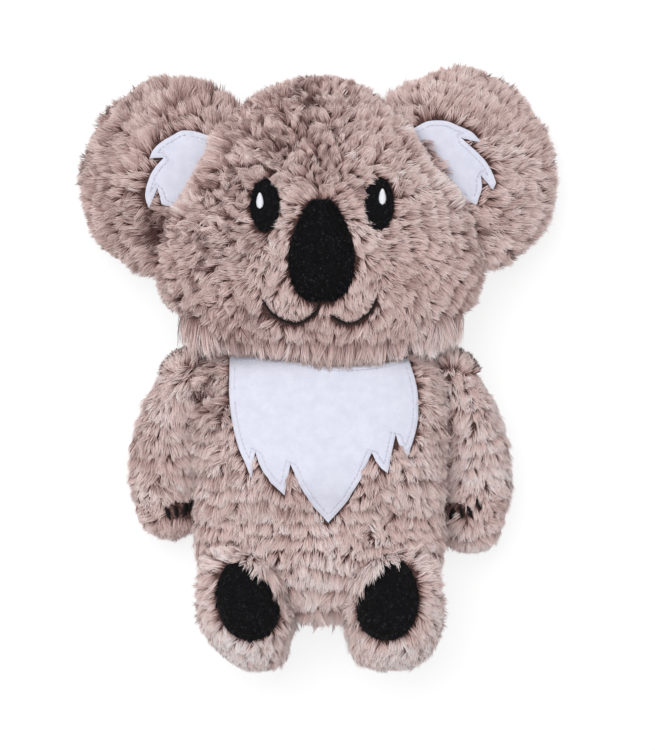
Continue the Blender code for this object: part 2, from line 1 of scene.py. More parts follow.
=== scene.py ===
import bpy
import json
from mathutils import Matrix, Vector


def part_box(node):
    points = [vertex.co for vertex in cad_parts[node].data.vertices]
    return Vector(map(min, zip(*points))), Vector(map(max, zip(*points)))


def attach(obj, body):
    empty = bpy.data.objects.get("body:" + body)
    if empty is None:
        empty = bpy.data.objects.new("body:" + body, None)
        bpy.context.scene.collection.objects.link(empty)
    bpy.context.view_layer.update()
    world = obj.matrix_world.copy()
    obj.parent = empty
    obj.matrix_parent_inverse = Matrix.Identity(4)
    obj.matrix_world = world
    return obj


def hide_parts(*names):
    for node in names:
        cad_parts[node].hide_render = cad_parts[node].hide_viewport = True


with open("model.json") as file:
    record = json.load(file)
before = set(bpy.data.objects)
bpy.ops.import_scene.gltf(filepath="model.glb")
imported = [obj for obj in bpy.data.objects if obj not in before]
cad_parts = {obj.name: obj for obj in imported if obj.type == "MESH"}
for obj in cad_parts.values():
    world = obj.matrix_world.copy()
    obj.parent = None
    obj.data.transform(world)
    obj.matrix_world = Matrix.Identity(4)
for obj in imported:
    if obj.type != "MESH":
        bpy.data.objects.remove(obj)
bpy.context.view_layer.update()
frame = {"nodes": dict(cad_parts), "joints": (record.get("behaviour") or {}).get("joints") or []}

# The looks of a plush koala that lies on its back. Its pile stands on smooth copies of the plush forms,
# and its felt, embroidery and stitches are made anew over the CAD pieces that they replace. In metres.

import copy
import json
import math
from collections import namedtuple

import bmesh
import bpy
import numpy as np
from mathutils import Vector
from mathutils.bvhtree import BVHTree
from mathutils.geometry import delaunay_2d_cdt
from mathutils.kdtree import KDTree

# The photograph, which looks straight down: its size in pixels, its scale and the pixel of the origin
PHOTO_WIDTH_PX = 655
PHOTO_HEIGHT_PX = 750
METRES_PER_PX = 0.00055
ORIGIN_PX = (320, 370)
CAMERA_DISTANCE = 4.0
FOCUS_Z = 0.045  # height at which the scale holds
SENSOR = 24.0

# Light and the floor on which the koala lies
KEY_TOWARD = (0.24, -0.32, -1.0)
KEY_STRENGTH = 1.75
KEY_SOFTNESS_DEG = 40
SKY_STRENGTH = 0.62
FLOOR_HALF = 3.0
FLOOR_COLOUR = 0.8
FLOOR_SEEN_COLOUR = 0.24  # towards the camera, where the rest of the white is emission
FLOOR_SEEN_GLOW = 0.80

# Coats: the body that carries each plush form, the length and lift of its pile, the width and turn of its
# locks, and the period and strength of its rows
Coat = namedtuple("Coat", "body length lift_deg lock turn period strength")
COATS = {
    "body": Coat("torso", 0.0092, 20, 0.0052, 0.16, 0.0090, 0.9),
    "head": Coat("head", 0.0082, 22, 0.0042, 0.22, 0.0075, 0.7),
    "left_ear": Coat("left_ear", 0.0096, 20, 0.0050, 0.18, 0.0098, 0.6),
    "right_ear": Coat("right_ear", 0.0096, 20, 0.0050, 0.18, 0.0098, 0.5),
    "left_arm": Coat("left_arm", 0.0088, 18, 0.0050, 0.18, 0.0110, 0.7),
    "right_arm": Coat("right_arm", 0.0088, 18, 0.0050, 0.18, 0.0110, 0.7),
    "left_leg": Coat("left_leg", 0.0084, 20, 0.0046, 0.20, 0.0085, 0.3),
    "right_leg": Coat("right_leg", 0.0084, 20, 0.0046, 0.20, 0.0085, 0.3),
}
FLAT_BACKED = ("body", "head", "left_ear", "right_ear")  # the pile below these is a piece of its own

# What the photograph shows in places. Each form has a value of its own and patches, which are a pixel, a
# radius in pixels and what they add there.
# Ruffled pile (up to 1), which also gets painted shade, or calm pile (down to 0)
RUFFLES = {
    "head": (
        0.26, (300, 118, 62, 0.60), (222, 190, 50, 0.55), (322, 176, 16, 0.4), (200, 335, 34, 0.45),
        (300, 210, 24, -0.5), (352, 245, 24, -0.5), (395, 245, 40, -0.3), (288, 300, 26, -0.4),
        (352, 303, 26, -0.4), (440, 270, 60, -0.30),
    ),
    "body": (
        0.16, (206, 392, 30, 0.65), (384, 498, 24, 0.5), (190, 355, 24, 0.4), (440, 420, 26, 0.25),
        (320, 560, 50, -0.1),
    ),
}
OTHER_RUFFLES = (0.20,)  # of the other forms
# Painted shade (less than 0) and painted light on the pile, by patches
PAINTED_LIGHT_AND_SHADE = {
    "body": (0.0, (200, 385, 36, -0.20), (320, 575, 60, 0.17), (420, 520, 50, 0.05), (196, 470, 10, -0.3)),
    "head": (
        -0.07, (285, 120, 70, -0.16), (205, 200, 52, -0.16), (178, 285, 26, -0.10), (322, 332, 34, -0.14),
        (240, 336, 40, -0.10), (163, 228, 11, -0.6), (476, 226, 8, -0.5),
    ),
    "left_ear": (-0.22, (163, 228, 12, -0.6), (125, 120, 30, -0.08)),
    "right_ear": (-0.04, (476, 226, 9, -0.5)),
    "left_arm": (0.0,),
    "right_arm": (0.11, (500, 440, 30, 0.08), (441, 440, 9, -0.4)),
    "left_leg": (0.11, (235, 652, 36, 0.20)),
    "right_leg": (0.11, (403, 656, 36, 0.19)),
}
# Shorter pile (less than 0) or longer pile, as a share, so that its outline is the photograph's
TRIMS = {
    "body": (0.0, (322, 620, 22, 0.8)),
    "head": (0.0, (168, 318, 16, -0.6), (468, 320, 14, -0.6), (335, 74, 34, -0.3), (375, 88, 14, -0.3)),
    "left_ear": (0.0, (88, 215, 24, -0.35), (122, 262, 24, -0.45), (122, 96, 26, -0.2)),
    "right_ear": (0.0, (425, 74, 26, -0.5), (485, 66, 26, -0.4), (528, 112, 24, -0.3)),
    "left_arm": (0.0, (138, 503, 24, -0.5), (168, 540, 16, -0.4)),
    "right_arm": (0.0, (482, 380, 26, -0.5), (508, 515, 22, -0.5), (470, 550, 16, -0.3)),
    "left_leg": (
        0.0, (222, 655, 24, -0.7), (196, 595, 20, -0.3), (268, 672, 14, -0.4), (294, 636, 12, -0.6),
        (268, 568, 14, 0.8),
    ),
    "right_leg": (
        0.0, (392, 672, 26, -0.45), (447, 600, 26, -0.25), (348, 645, 14, 0.6), (369, 568, 14, 0.8),
    ),
}

# Plush forms
TUFT_SPACING = 0.0024
SMOOTHING_STEPS = 6
NOSE_SPACING = 0.0009
NOSE_SMOOTHING_STEPS = 8
UNDERSIDE = 0.0008  # height of the backing above the floor
RAY_HEIGHT = 0.3  # above everything
MID_HEIGHT = 0.05  # seen from here, the edge of a form is its nearest part

# Noise: a sum of some waves, and about the most that it reaches
WAVES = 6
WAVES_REACH = 2.6

# Strands
STRANDS = 12  # in a tuft
TUFT_SPREAD = 0.72  # radius of a tuft, as a share of the spacing
TUFT_SWAY = 0.38  # how far a tuft may stand from its place, also as a share
STRAND_WIDTH = 0.00036
STRAND_WIDTHS = (0.8, 1.0, 0.75)  # from the root on, before the point
STRAND_ROWS = (0.0, 0.38, 0.74, 1.0)  # where these are, with the point
STRAND_STRAY = 0.0004
ROOT_SINK = 0.0006
UNDER_STRANDS = 4  # in a tuft that looks to the floor
UNDER_WIDTH = 0.00060
MAX_TRIANGLES = 190000  # in a piece
STRAND_TRIANGLES = 5
LOWEST = 0.0001  # of a strand above the floor

# Tufts
TINT = 0.73
# Painted shade of ruffled pile, which is darker
RUFFLED_PAINTED_SHADE = 0.18
RUFFLED_LIFT_DEG = 26
RUFFLED_TURN = 0.8
GATHERING = 0.45  # how far the tips of a tuft draw together
CALM_GATHERING = 0.15  # how far the tips of a lock draw together
RUFFLED_GATHERING = 0.70
PRESSED = 0.1  # how much of its height a covered tuft keeps
SHORTEST = 0.0012

# Rows
SHINGLE_WIDTH = 0.0105
ROW_OVERHANG = 0.0022
ROW_SHORTEST = 0.0036
# Painted shade below the tips of each row
ROW_PAINTED_SHADE = 0.38  # at the roots that show between two rows
# Painted light on the pile that faces sideways and down
SIDES_PAINTED_LIGHT = 0.08

EAR_ROWS_CENTRE = (0.8, 1.0)  # as shares of the place of the ear's seam

# The long tufts along the edge of the head
FACE_CENTRE = (0.0005, 0.083)  # the pile of the head flows outwards from here
FRINGE_LONGEST = 0.024
FRINGE_LOCK = 0.0060
FRINGE_DEPTH = 0.006  # from the form below it down to where it grows
FRINGE_DROP = 0.12
# Painted light on the hanging tufts, which lie in the shade of the pile above them
FRINGE_PAINTED_LIGHT = 0.20
REST_HEIGHT = 0.0036  # of a tuft that hangs over another form

# The painted shade of the crease below the mouth
CREASE_PAINTED_SHADE = 0.22
CREASE_HALF_WIDTH = 0.0016

# The inner corners of the shoulders: how far out and up they are, and their pile
SHOULDER_OUTER = 0.088
SHOULDER_INNER = 0.066
SHOULDER_Y = -0.002
SHOULDER_LOCK = 0.0050
SHOULDER_LENGTH = 0.0045
SHOULDER_LONGER = 0.0043  # at the neck

# Felt
FELT_LIFT = 0.0022
FELT_SPACING = 0.0014
FELT_THICKNESS = 0.0012
FELT_WAVE = 0.0002
FELT_EDGE_DROP = 0.0005
FELT_EDGE_WIDTH = 0.0012
SEAM_DEPTH = 0.0003
SEAM_HALF_WIDTH = 0.0014
STRAIGHT_DEG = 0.8  # an outline turns less than this at a point that it can do without
CORNER_DEG = 38.0  # and more than this at a sharp corner
CURVE_STEPS = 4
NAP_LENGTH = 0.0011
NAP_STRANDS = 5
NOSE_NAP_LENGTH = 0.0014
NOSE_NAP_STRANDS = 4
NAP_WIDTH = 0.00025
NAP_STRAY = 0.0002

# How far the pile may reach over what it grows beside
OVERLAPS = {"right_eye": 0.0010, "nose": 0.0008, "left_foot_pad": 0.0090, "right_foot_pad": 0.0090}
SUNK_LENGTH = 0.0028  # of the dark pile in the hollows of the hands
# Painted shade: the tint of the pile in the hollows of the hands
HOLLOW_PAINTED_SHADE = 0.05

# Threads
STITCH_INSET = 0.0028
STITCH = 0.0020
STITCH_PITCH = 0.0026
STITCH_STEP = 0.0001  # between the points of a seam from which its stitches are cut
STITCH_RADIUS = 0.00021
STITCH_LIFT = 0.0002
THREAD_SIDES = 6
GLINT_LIFT = FELT_LIFT + 0.0008
GLINT_PITCH = 0.00034
CLAW_LIFT = 0.0026
CLAW_PITCH = 0.00040
SATIN_CROWN = 0.0004
SATIN_THREAD = 0.62  # radius of a satin thread, as a share of its pitch
MOUTH_LIFT = 0.0025
MOUTH_HALF_WIDTH = 0.0014  # of the line that is free of pile
MOUTH_CURVE_STEPS = 6
PLY_RADIUS = 0.00040
PLY_OFFSET = 0.00032  # from the middle of the cord
PLY_STEP = 0.00020
PLY_STEPS = 12  # in a turn

# Where the felt pieces end below the pile of the head, in pixels of the photograph
EDGES_PX = {
    "bib": ((230, 357), (250, 357), (290, 361), (330, 367), (365, 366), (385, 363.5), (397, 361), (408, 359)),
    "left_ear_felt": ((214, 137), (210, 155), (198, 177), (188, 195), (176, 209)),
    "right_ear_felt": ((409, 131), (413, 143), (423, 159), (429, 172), (443, 183), (459, 197), (476, 205)),
}
# Lines on which the long tufts at the edge of the head end, by the form over which they hang
FRINGES_PX = {
    "body": (
        (183, 349), (192, 356), (206, 361), (229, 356), (250, 357.5), (290, 363), (330, 371),
        (365, 369.5), (385, 366), (397, 361.5), (408, 356), (430, 361), (447, 355), (457, 347),
    ),
    "left_ear": ((209, 130), (205, 152), (193, 174), (183, 192), (168, 210)),
    "right_ear": ((412, 124), (418, 140), (428, 155), (434, 168), (448, 178), (466, 197)),
}
CREASE_PX = (
    (183, 334), (205, 333), (223, 331), (239, 336), (251, 340), (273, 342), (325, 341), (350, 341),
    (390, 334),
)
MOUTH_PX = {
    "left": ((263, 300), (271.5, 313), (283, 320.7), (296.5, 324), (308, 319), (317, 311), (319.3, 303)),
    "right": ((330, 315), (340, 321.5), (351.5, 323.7), (363, 318.3), (371.5, 310), (376.5, 299)),
}
# The hollows of the hands, where the pile is painted dark as painted shade: middle, half width and half
# height
HOLLOWS_PX = {"left": (182, 509, 14, 8), "right": (457, 506, 9, 4)}
HOLLOW_POINTS = 12

SIDES = ("left", "right")
CLAWS = {side: [f"{side}_claw_{number}" for number in range(1, 5)] for side in SIDES}
UP = (0.0, 0.0, 1.0)


def ripple(points, length, seed):
    """Smooth noise of about -1 to 1 over points, with waves of about this length."""
    draw = np.random.default_rng(seed)
    total = np.zeros(len(points))
    for _ in range(WAVES):
        way = draw.normal(size=3)
        way *= draw.uniform(0.6, 1.6) / np.linalg.norm(way)
        total += np.sin(points @ way * math.tau / length + draw.uniform(0, math.tau))
    return total / WAVES_REACH


def unit(vectors):
    return vectors / np.maximum(np.linalg.norm(vectors, axis=-1, keepdims=True), 1e-9)


def level(x, y):
    """Vectors in the plane of the floor."""
    return np.stack([x, y, np.zeros(len(x))], axis=-1)


def step_up(low, high, values):
    """A smooth step from 0 at low to 1 at high."""
    share = np.clip((values - low) / (high - low), 0, 1)
    return share * share * (3 - 2 * share)


def from_path(points, path):
    """How far these points of a plane are from a path."""
    least = np.full(len(points), np.inf)
    for start, end in zip(path, path[1:]):
        along = end - start
        share = np.clip((points - start) @ along / max(along @ along, 1e-12), 0, 1)
        least = np.minimum(least, np.linalg.norm(points - start - share[:, None] * along, axis=1))
    return least


def from_px(pixels):
    """The places in the frame that these pixels of the photograph show."""
    return (np.asarray(pixels, float) - ORIGIN_PX) * (METRES_PER_PX, -METRES_PER_PX)


def patched(patches, points):
    """The value of a form at these points, with its patches of the photograph."""
    total = np.full(len(points), float(patches[0]))
    for x, y, radius, amount in patches[1:]:
        away = points[:, :2] - from_px((x, y))
        total += amount * np.exp(-((away**2).sum(1)) / (radius * METRES_PER_PX) ** 2)
    return total


def curved(start, end, leave, arrive, steps):
    """Points of a curve that leaves its start and arrives at its end in these directions, without the end."""
    t = np.arange(steps)[:, None] / steps
    ease = t * t * (3 - 2 * t)
    return start + (end - start) * ease + leave * t * (1 - t) ** 2 - arrive * t * t * (1 - t)


def smooth_path(path, steps):
    """A curve through these points."""
    before, after = path - np.gradient(path, axis=0), path + np.gradient(path, axis=0)
    made = []
    for index in range(len(path) - 1):
        start, end = path[index], path[index + 1]
        made.extend(curved(start, end, after[index] - start, end - before[index + 1], steps))
    return np.array([*made, path[-1]])


def resampled(path, spacing):
    """Points at even spacing along a path."""
    lengths = np.concatenate([[0], np.cumsum(np.linalg.norm(np.diff(path, axis=0), axis=1))])
    places = np.linspace(0, lengths[-1], max(2, round(lengths[-1] / spacing) + 1))
    return np.stack([np.interp(places, lengths, path[:, axis]) for axis in range(path.shape[1])], axis=-1)


def beside_path(path):
    """At each point of a path, the level way across it and the way up from it."""
    step = unit(np.gradient(path, axis=0))
    across = unit(np.cross(step, UP) + 1e-6)
    return across, np.cross(across, step)


def add_object(name, data):
    made = bpy.data.objects.new(name, data)
    bpy.context.collection.objects.link(made)
    return made


def dress(name, mesh, material, body, *nodes):
    """A piece that rides on a body and takes the place of these nodes."""
    mesh.materials.append(material)
    piece = add_object(name, mesh)
    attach(piece, body)
    if nodes:
        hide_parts(*nodes)
    return piece


def finished(shape, name):
    """The mesh of this shape, which is freed."""
    mesh = bpy.data.meshes.new(name)
    shape.to_mesh(mesh)
    shape.free()
    return mesh


# Materials


class Paint:
    """A node material under construction."""

    def __init__(self, name, roughness=0.9, sheen=0.0, specular=0.3):
        self.material = bpy.data.materials.new(name)
        self.material.use_nodes = True
        self.nodes = self.material.node_tree.nodes
        self.links = self.material.node_tree.links
        self.shader = self.nodes["Principled BSDF"]
        looks = {"Roughness": roughness, "Sheen Weight": sheen, "Sheen Roughness": 0.5}
        for name, value in {**looks, "Specular IOR Level": specular}.items():
            self.shader.inputs[name].default_value = value

    def node(self, kind, settings=None, **inputs):
        made = self.nodes.new(kind)
        for key, value in (settings or {}).items():
            setattr(made, key, value)
        for key, value in inputs.items():
            self.put(value, made.inputs[key.replace("_", " ")])
        return made

    def put(self, value, socket):
        if isinstance(value, bpy.types.NodeSocket):
            self.links.new(value, socket)
        elif isinstance(value, tuple) and len(value) < len(socket.default_value):
            socket.default_value = (*value, 1.0)
        else:
            socket.default_value = value

    def attribute(self, name):
        return self.node("ShaderNodeAttribute", {"attribute_name": name}).outputs["Fac"]

    def noise(self, scale, detail=2.0, roughness=0.5):
        place = self.node("ShaderNodeTexCoord").outputs["Object"]
        settings = {"Scale": scale, "Detail": detail, "Roughness": roughness}
        return self.node("ShaderNodeTexNoise", Vector=place, **settings).outputs["Fac"]

    def ramp(self, value, *stops):
        made = self.node("ShaderNodeValToRGB", Fac=value)
        while len(made.color_ramp.elements) < len(stops):
            made.color_ramp.elements.new(0.5)
        for element, (position, colour) in zip(made.color_ramp.elements, stops):
            element.position = position
            element.color = (*colour, 1.0)
        return made.outputs["Color"]

    def mix(self, share, first, second, blend="MIX"):
        made = self.node("ShaderNodeMix", {"data_type": "RGBA", "blend_type": blend})
        self.put(share, made.inputs[0])
        self.put(first, made.inputs[6])
        self.put(second, made.inputs[7])
        return made.outputs[2]

    def times(self, first, second):
        return self.mix(1.0, first, second, "MULTIPLY")

    def finish(self, colour, rough=None, bump=None):
        """The material, rough by a value (from, to) and with a bump by a value (strength, distance)."""
        self.put(colour, self.shader.inputs["Base Color"])
        if rough:
            made = self.node("ShaderNodeMapRange", Value=rough[0], To_Min=rough[1], To_Max=rough[2])
            self.put(made.outputs["Result"], self.shader.inputs["Roughness"])
        if bump:
            made = self.node("ShaderNodeBump", Height=bump[0], Strength=bump[1], Distance=bump[2])
            self.put(made.outputs["Normal"], self.shader.inputs["Normal"])
        return self.material


def plush_paint():
    """Taupe pile: painted shade at its dark reddish roots, paler tips, each tuft and patch a little
    different.
    """
    paint = Paint("taupe pile", sheen=0.1, specular=0.15)
    along = paint.ramp(
        paint.attribute("along"),
        (0.0, (0.100, 0.048, 0.046)),
        (0.25, (0.46, 0.305, 0.285)),
        (0.55, (0.82, 0.660, 0.635)),
        (1.0, (0.99, 0.89, 0.865)),
    )
    # The tint carries the pile's own tone and its painted light and shade
    tint = paint.ramp(
        paint.attribute("tint"),
        (0.0, (0.13, 0.08, 0.075)),
        (0.26, (0.54, 0.44, 0.43)),
        (0.50, (0.83, 0.765, 0.75)),
        (0.72, (0.935, 0.89, 0.885)),
        (0.86, (1.0, 1.0, 1.0)),
        (1.0, (1.0, 1.09, 1.12)),
    )
    patch = paint.noise(30.0, 3.0)
    shade = paint.ramp(patch, (0.32, (0.93, 0.88, 0.87)), (0.62, (1.0, 1.0, 1.0)))
    return paint.finish(paint.times(paint.times(along, tint), shade), (patch, 0.8, 0.95))


def shaded_backing_paint():
    """The knitted backing, painted dark as painted shade in the gaps between the tufts."""
    paint = Paint("backing", roughness=1.0)
    grain = paint.noise(900.0, 3.0, 0.6)
    colour = paint.ramp(grain, (0.3, (0.045, 0.022, 0.020)), (0.7, (0.11, 0.060, 0.053)))
    return paint.finish(colour, bump=(grain, 0.6, 0.0006))


def white_felt_paint():
    """White felt with a lavender cast, mottled where its fibres mat together."""
    paint = Paint("white felt", sheen=0.3)
    mottle = paint.noise(170.0, 4.0, 0.6)
    grain = paint.noise(2200.0, 3.0, 0.7)
    cloth = paint.ramp(mottle, (0.35, (0.655, 0.665, 0.78)), (0.65, (0.73, 0.74, 0.85)))
    fibres = paint.ramp(grain, (0.3, (0.53, 0.54, 0.65)), (0.7, (0.84, 0.84, 0.92)))
    return paint.finish(paint.mix(0.25, cloth, fibres), (mottle, 0.85, 1.0), (grain, 0.5, 0.0004))


BLACK = (0.003, 0.003, 0.004)
NEAR_BLACK = (0.009, 0.009, 0.010)


def black_felt_paint():
    """Black brushed felt with a few grey fibres."""
    paint = Paint("black felt", sheen=0.05, specular=0.12)
    grain = paint.noise(1500.0, 3.0, 0.7)
    colour = paint.ramp(grain, (0.35, BLACK), (0.62, NEAR_BLACK), (0.8, (0.035, 0.035, 0.04)))
    return paint.finish(colour, (grain, 0.85, 1.0), (grain, 0.8, 0.0005))


def black_nap_paint():
    """The short fibres that stand on the black felt."""
    paint = Paint("black nap", specular=0.12)
    grain = paint.attribute("tint")
    colour = paint.ramp(grain, (0.0, BLACK), (0.8, NEAR_BLACK), (1.0, (0.05, 0.05, 0.055)))
    return paint.finish(colour, (grain, 0.8, 0.95))


def thread_paint(name, dark, light):
    """Satin thread, with the grain of its filaments."""
    paint = Paint(name, specular=0.2)
    grain = paint.noise(2600.0, 2.0)
    colour = paint.ramp(grain, (0.3, dark), (0.7, light))
    return paint.finish(colour, (grain, 0.4, 0.6), (grain, 0.5, 0.0002))


PLUSH = plush_paint()
PAINTED_SHADE_BACKING = shaded_backing_paint()
WHITE_FELT = white_felt_paint()
BLACK_FELT = black_felt_paint()
BLACK_NAP = black_nap_paint()
BLACK_THREAD = thread_paint("black thread", (0.003, 0.003, 0.003), (0.012, 0.010, 0.010))
SEWING_THREAD = thread_paint("sewing thread", (0.50, 0.50, 0.60), (0.68, 0.68, 0.77))
WHITE_THREAD = thread_paint("white thread", (0.74, 0.74, 0.80), (0.90, 0.90, 0.94))


# Plush forms


def vectors_of(parts, name):
    """One vector of each of these parts of a mesh."""
    values = np.empty(len(parts) * 3)
    parts.foreach_get(name, values)
    return values.reshape(-1, 3)


def modified(mesh, *changes):
    """The mesh after these modifiers, each a kind and its settings."""
    carrier = add_object("carrier", mesh)
    for kind, settings in changes:
        change = carrier.modifiers.new(kind, kind)
        for key, value in settings.items():
            setattr(change, key, value)
    view = bpy.context.evaluated_depsgraph_get()
    made = bpy.data.meshes.new_from_object(carrier.evaluated_get(view))
    bpy.data.objects.remove(carrier)
    return made


def joined(nodes):
    """One mesh with the meshes of these CAD nodes."""
    whole = bmesh.new()
    for node in nodes:
        whole.from_mesh(frame["nodes"][node].data)
    return finished(whole, nodes[0])


Ground = namedtuple("Ground", "mesh spacing body")  # a mesh whose faces are places for tufts


class Form:
    """A smooth, evenly meshed copy of the outside of these nodes, which rides on a body."""

    def __init__(self, nodes, body, spacing=TUFT_SPACING, steps=SMOOTHING_STEPS):
        even = ("REMESH", {"mode": "VOXEL", "voxel_size": spacing})
        smooth = ("SMOOTH", {"factor": 0.5, "iterations": steps})
        self.mesh, self.spacing, self.body = modified(joined(nodes), even, smooth), spacing, body
        points = vectors_of(self.mesh.vertices, "co")
        points[:, 2] = np.maximum(points[:, 2], UNDERSIDE)
        self.mesh.vertices.foreach_set("co", points.ravel())
        self.mesh.update()
        self.mesh.shade_smooth()
        faces = [tuple(face.vertices) for face in self.mesh.polygons]
        self.tree = BVHTree.FromPolygons(points.tolist(), faces)

    def below(self, places):
        """The points of the form that someone who looks straight down sees at these places."""
        made = []
        for x, y in places:
            point, _, _, _ = self.tree.ray_cast(Vector((x, y, RAY_HEIGHT)), -Vector(UP))
            made.append(tuple(point) if point else (x, y, 0.0))
        return np.array(made)

    def holds(self, points):
        """Which of these points lie inside the form."""
        inside = np.zeros(len(points), bool)
        for index, point in enumerate(points):
            place, normal, _, _ = self.tree.find_nearest(point)
            inside[index] = (Vector(point) - place).dot(normal) < 0
        return inside


# Felt outlines


def front_faces(node, steepest):
    """A thin CAD piece as a merged mesh, the faces that look to its front, and the way that they look."""
    shape = bmesh.new()
    shape.from_mesh(frame["nodes"][node].data)
    bmesh.ops.remove_doubles(shape, verts=shape.verts, dist=1e-6)
    bmesh.ops.dissolve_degenerate(shape, edges=shape.edges, dist=1e-6)
    shape.normal_update()
    up = Vector()
    for face in shape.faces:
        if face.normal.z > 0.5:
            up += face.normal * face.calc_area()
    up.normalize()
    return shape, [face for face in shape.faces if face.normal.dot(up) > steepest], up


def longest_loop(faces):
    """The corners along the longest edge of a patch of faces."""
    chosen, follows = set(faces), {}
    for face in faces:
        for loop in face.loops:
            if loop.link_loop_radial_next.face not in chosen:
                follows[loop.vert] = loop.link_loop_next.vert
    loops = []
    while follows:
        at, loop = next(iter(follows)), []
        while at in follows:
            loop.append(at.co.copy())
            at = follows.pop(at)
        loops.append(loop)
    return max(loops, key=len)


def corner_turns(ring):
    """By how many degrees the outline turns at each of its points."""
    before, after = unit(ring - np.roll(ring, 1, 0)), unit(np.roll(ring, -1, 0) - ring)
    return np.degrees(np.arccos(np.clip((before * after).sum(1), -1, 1)))


def with_edge(ring, edge):
    """The outline with this edge in place of its own points between the ends of the edge."""
    ring = ring[corner_turns(ring) > STRAIGHT_DEG]
    start, end = (int(np.linalg.norm(ring - point, axis=1).argmin()) for point in (edge[0], edge[-1]))
    if (end - start) % len(ring) > len(ring) / 2:
        start, end, edge = end, start, edge[::-1]
    return np.concatenate([np.roll(ring, -start, 0)[(end - start) % len(ring) + 1 :], edge])


class Felt:
    """A flat outline in a plane of its own, and the form on which it lies."""

    def __init__(self, form, lift, points, up=UP, edge_px=()):
        self.form, self.lift, self.up = form, lift, np.array(up, float)
        self.across = unit(np.cross((0.0, 1.0, 0.0), self.up))
        self.along = np.cross(self.up, self.across)
        ring = self.flat(points)
        if edge_px:
            ring = with_edge(ring, self.flat(form.below(from_px(edge_px))))
        turns = corner_turns(ring)
        self.corners, self.turns = ring[turns > STRAIGHT_DEG], turns[turns > STRAIGHT_DEG]
        self.outline = self.rounded()

    def flat(self, points):
        """Points in the piece's own plane."""
        return np.stack([points @ self.across, points @ self.along], axis=-1)

    def raised(self, flat_points, lift=0.0):
        """Points of the plane, laid on the form and lifted. Past its edge they are as high as its edge."""
        made, down = [], Vector(-self.up)
        for x, y in flat_points:
            above = Vector(self.across * x + self.along * y + self.up * RAY_HEIGHT)
            place, _, _, _ = self.form.tree.ray_cast(above, down)
            if not place:
                nearest, _, _, _ = self.form.tree.find_nearest(above + down * (RAY_HEIGHT - MID_HEIGHT))
                place = above + down * (nearest - above).dot(down)
            made.append(np.array(place) + self.up * (self.lift + lift))
        return np.array(made)

    def rounded(self):
        """The outline with its facets rounded and its sharp corners kept."""
        ring, sharp, count = self.corners, self.turns > CORNER_DEG, len(self.corners)
        smooth = []
        for index in range(count):
            after = (index + 1) % count
            start, end = ring[index], ring[after]
            leave = end - start if sharp[index] else (end - ring[index - 1]) / 2
            arrive = end - start if sharp[after] else (ring[(index + 2) % count] - start) / 2
            smooth.extend(curved(start, end, leave, arrive, CURVE_STEPS))
        return np.array(smooth)

    def covers(self, points):
        """Which of these points of the plane lie inside the outline."""
        inside = np.zeros(len(points), bool)
        x, y = points[:, 0], points[:, 1]
        for start, end in zip(self.outline, np.roll(self.outline, -1, 0)):
            crosses = (start[1] > y) != (end[1] > y)
            slope = (end[0] - start[0]) / (end[1] - start[1] + 1e-12)
            inside ^= crosses & (x < start[0] + (y - start[1]) * slope)
        return inside

    def gap(self, points):
        """How far these points of the plane are from the outline."""
        return from_path(points, np.concatenate([self.outline, self.outline[:1]]))

    def inset(self, distance):
        """The points of the outline moved inwards, where there is room for them."""
        before, after = np.roll(self.outline, 1, 0), np.roll(self.outline, -1, 0)
        step = unit(after - before)
        inwards = np.stack([-step[:, 1], step[:, 0]], axis=-1)
        area = (self.outline[:, 0] * after[:, 1] - self.outline[:, 1] * after[:, 0]).sum()
        moved = self.outline + inwards * distance * np.sign(area)
        return moved[self.covers(moved) & (self.gap(moved) > distance * 0.93)]


def cut_from(node, form, lift, steepest=0.35):
    """The outline of a thin CAD piece."""
    shape, front, up = front_faces(node, steepest)
    felt = Felt(form, lift, np.array(longest_loop(front)), up, EDGES_PX.get(node, ()))
    shape.free()
    return felt


def mouth_line(side):
    """The outline of the line that the mouth's thread follows."""
    path = from_px(MOUTH_PX[side])
    step = unit(np.gradient(path, axis=0))
    offset = np.stack([-step[:, 1], step[:, 0]], axis=-1) * MOUTH_HALF_WIDTH
    return Felt(forms["head"], MOUTH_LIFT, level(*np.concatenate([path + offset, (path - offset)[::-1]]).T))


def hollow(side):
    """The outline of the dark hollow of a hand."""
    x, y, across, along = HOLLOWS_PX[side]
    turns = np.arange(HOLLOW_POINTS) * math.tau / HOLLOW_POINTS
    ring = np.stack([x + across * np.cos(turns), y + along * np.sin(turns)], axis=-1)
    return Felt(forms[f"{side}_arm"], 0.0, level(*from_px(ring).T))


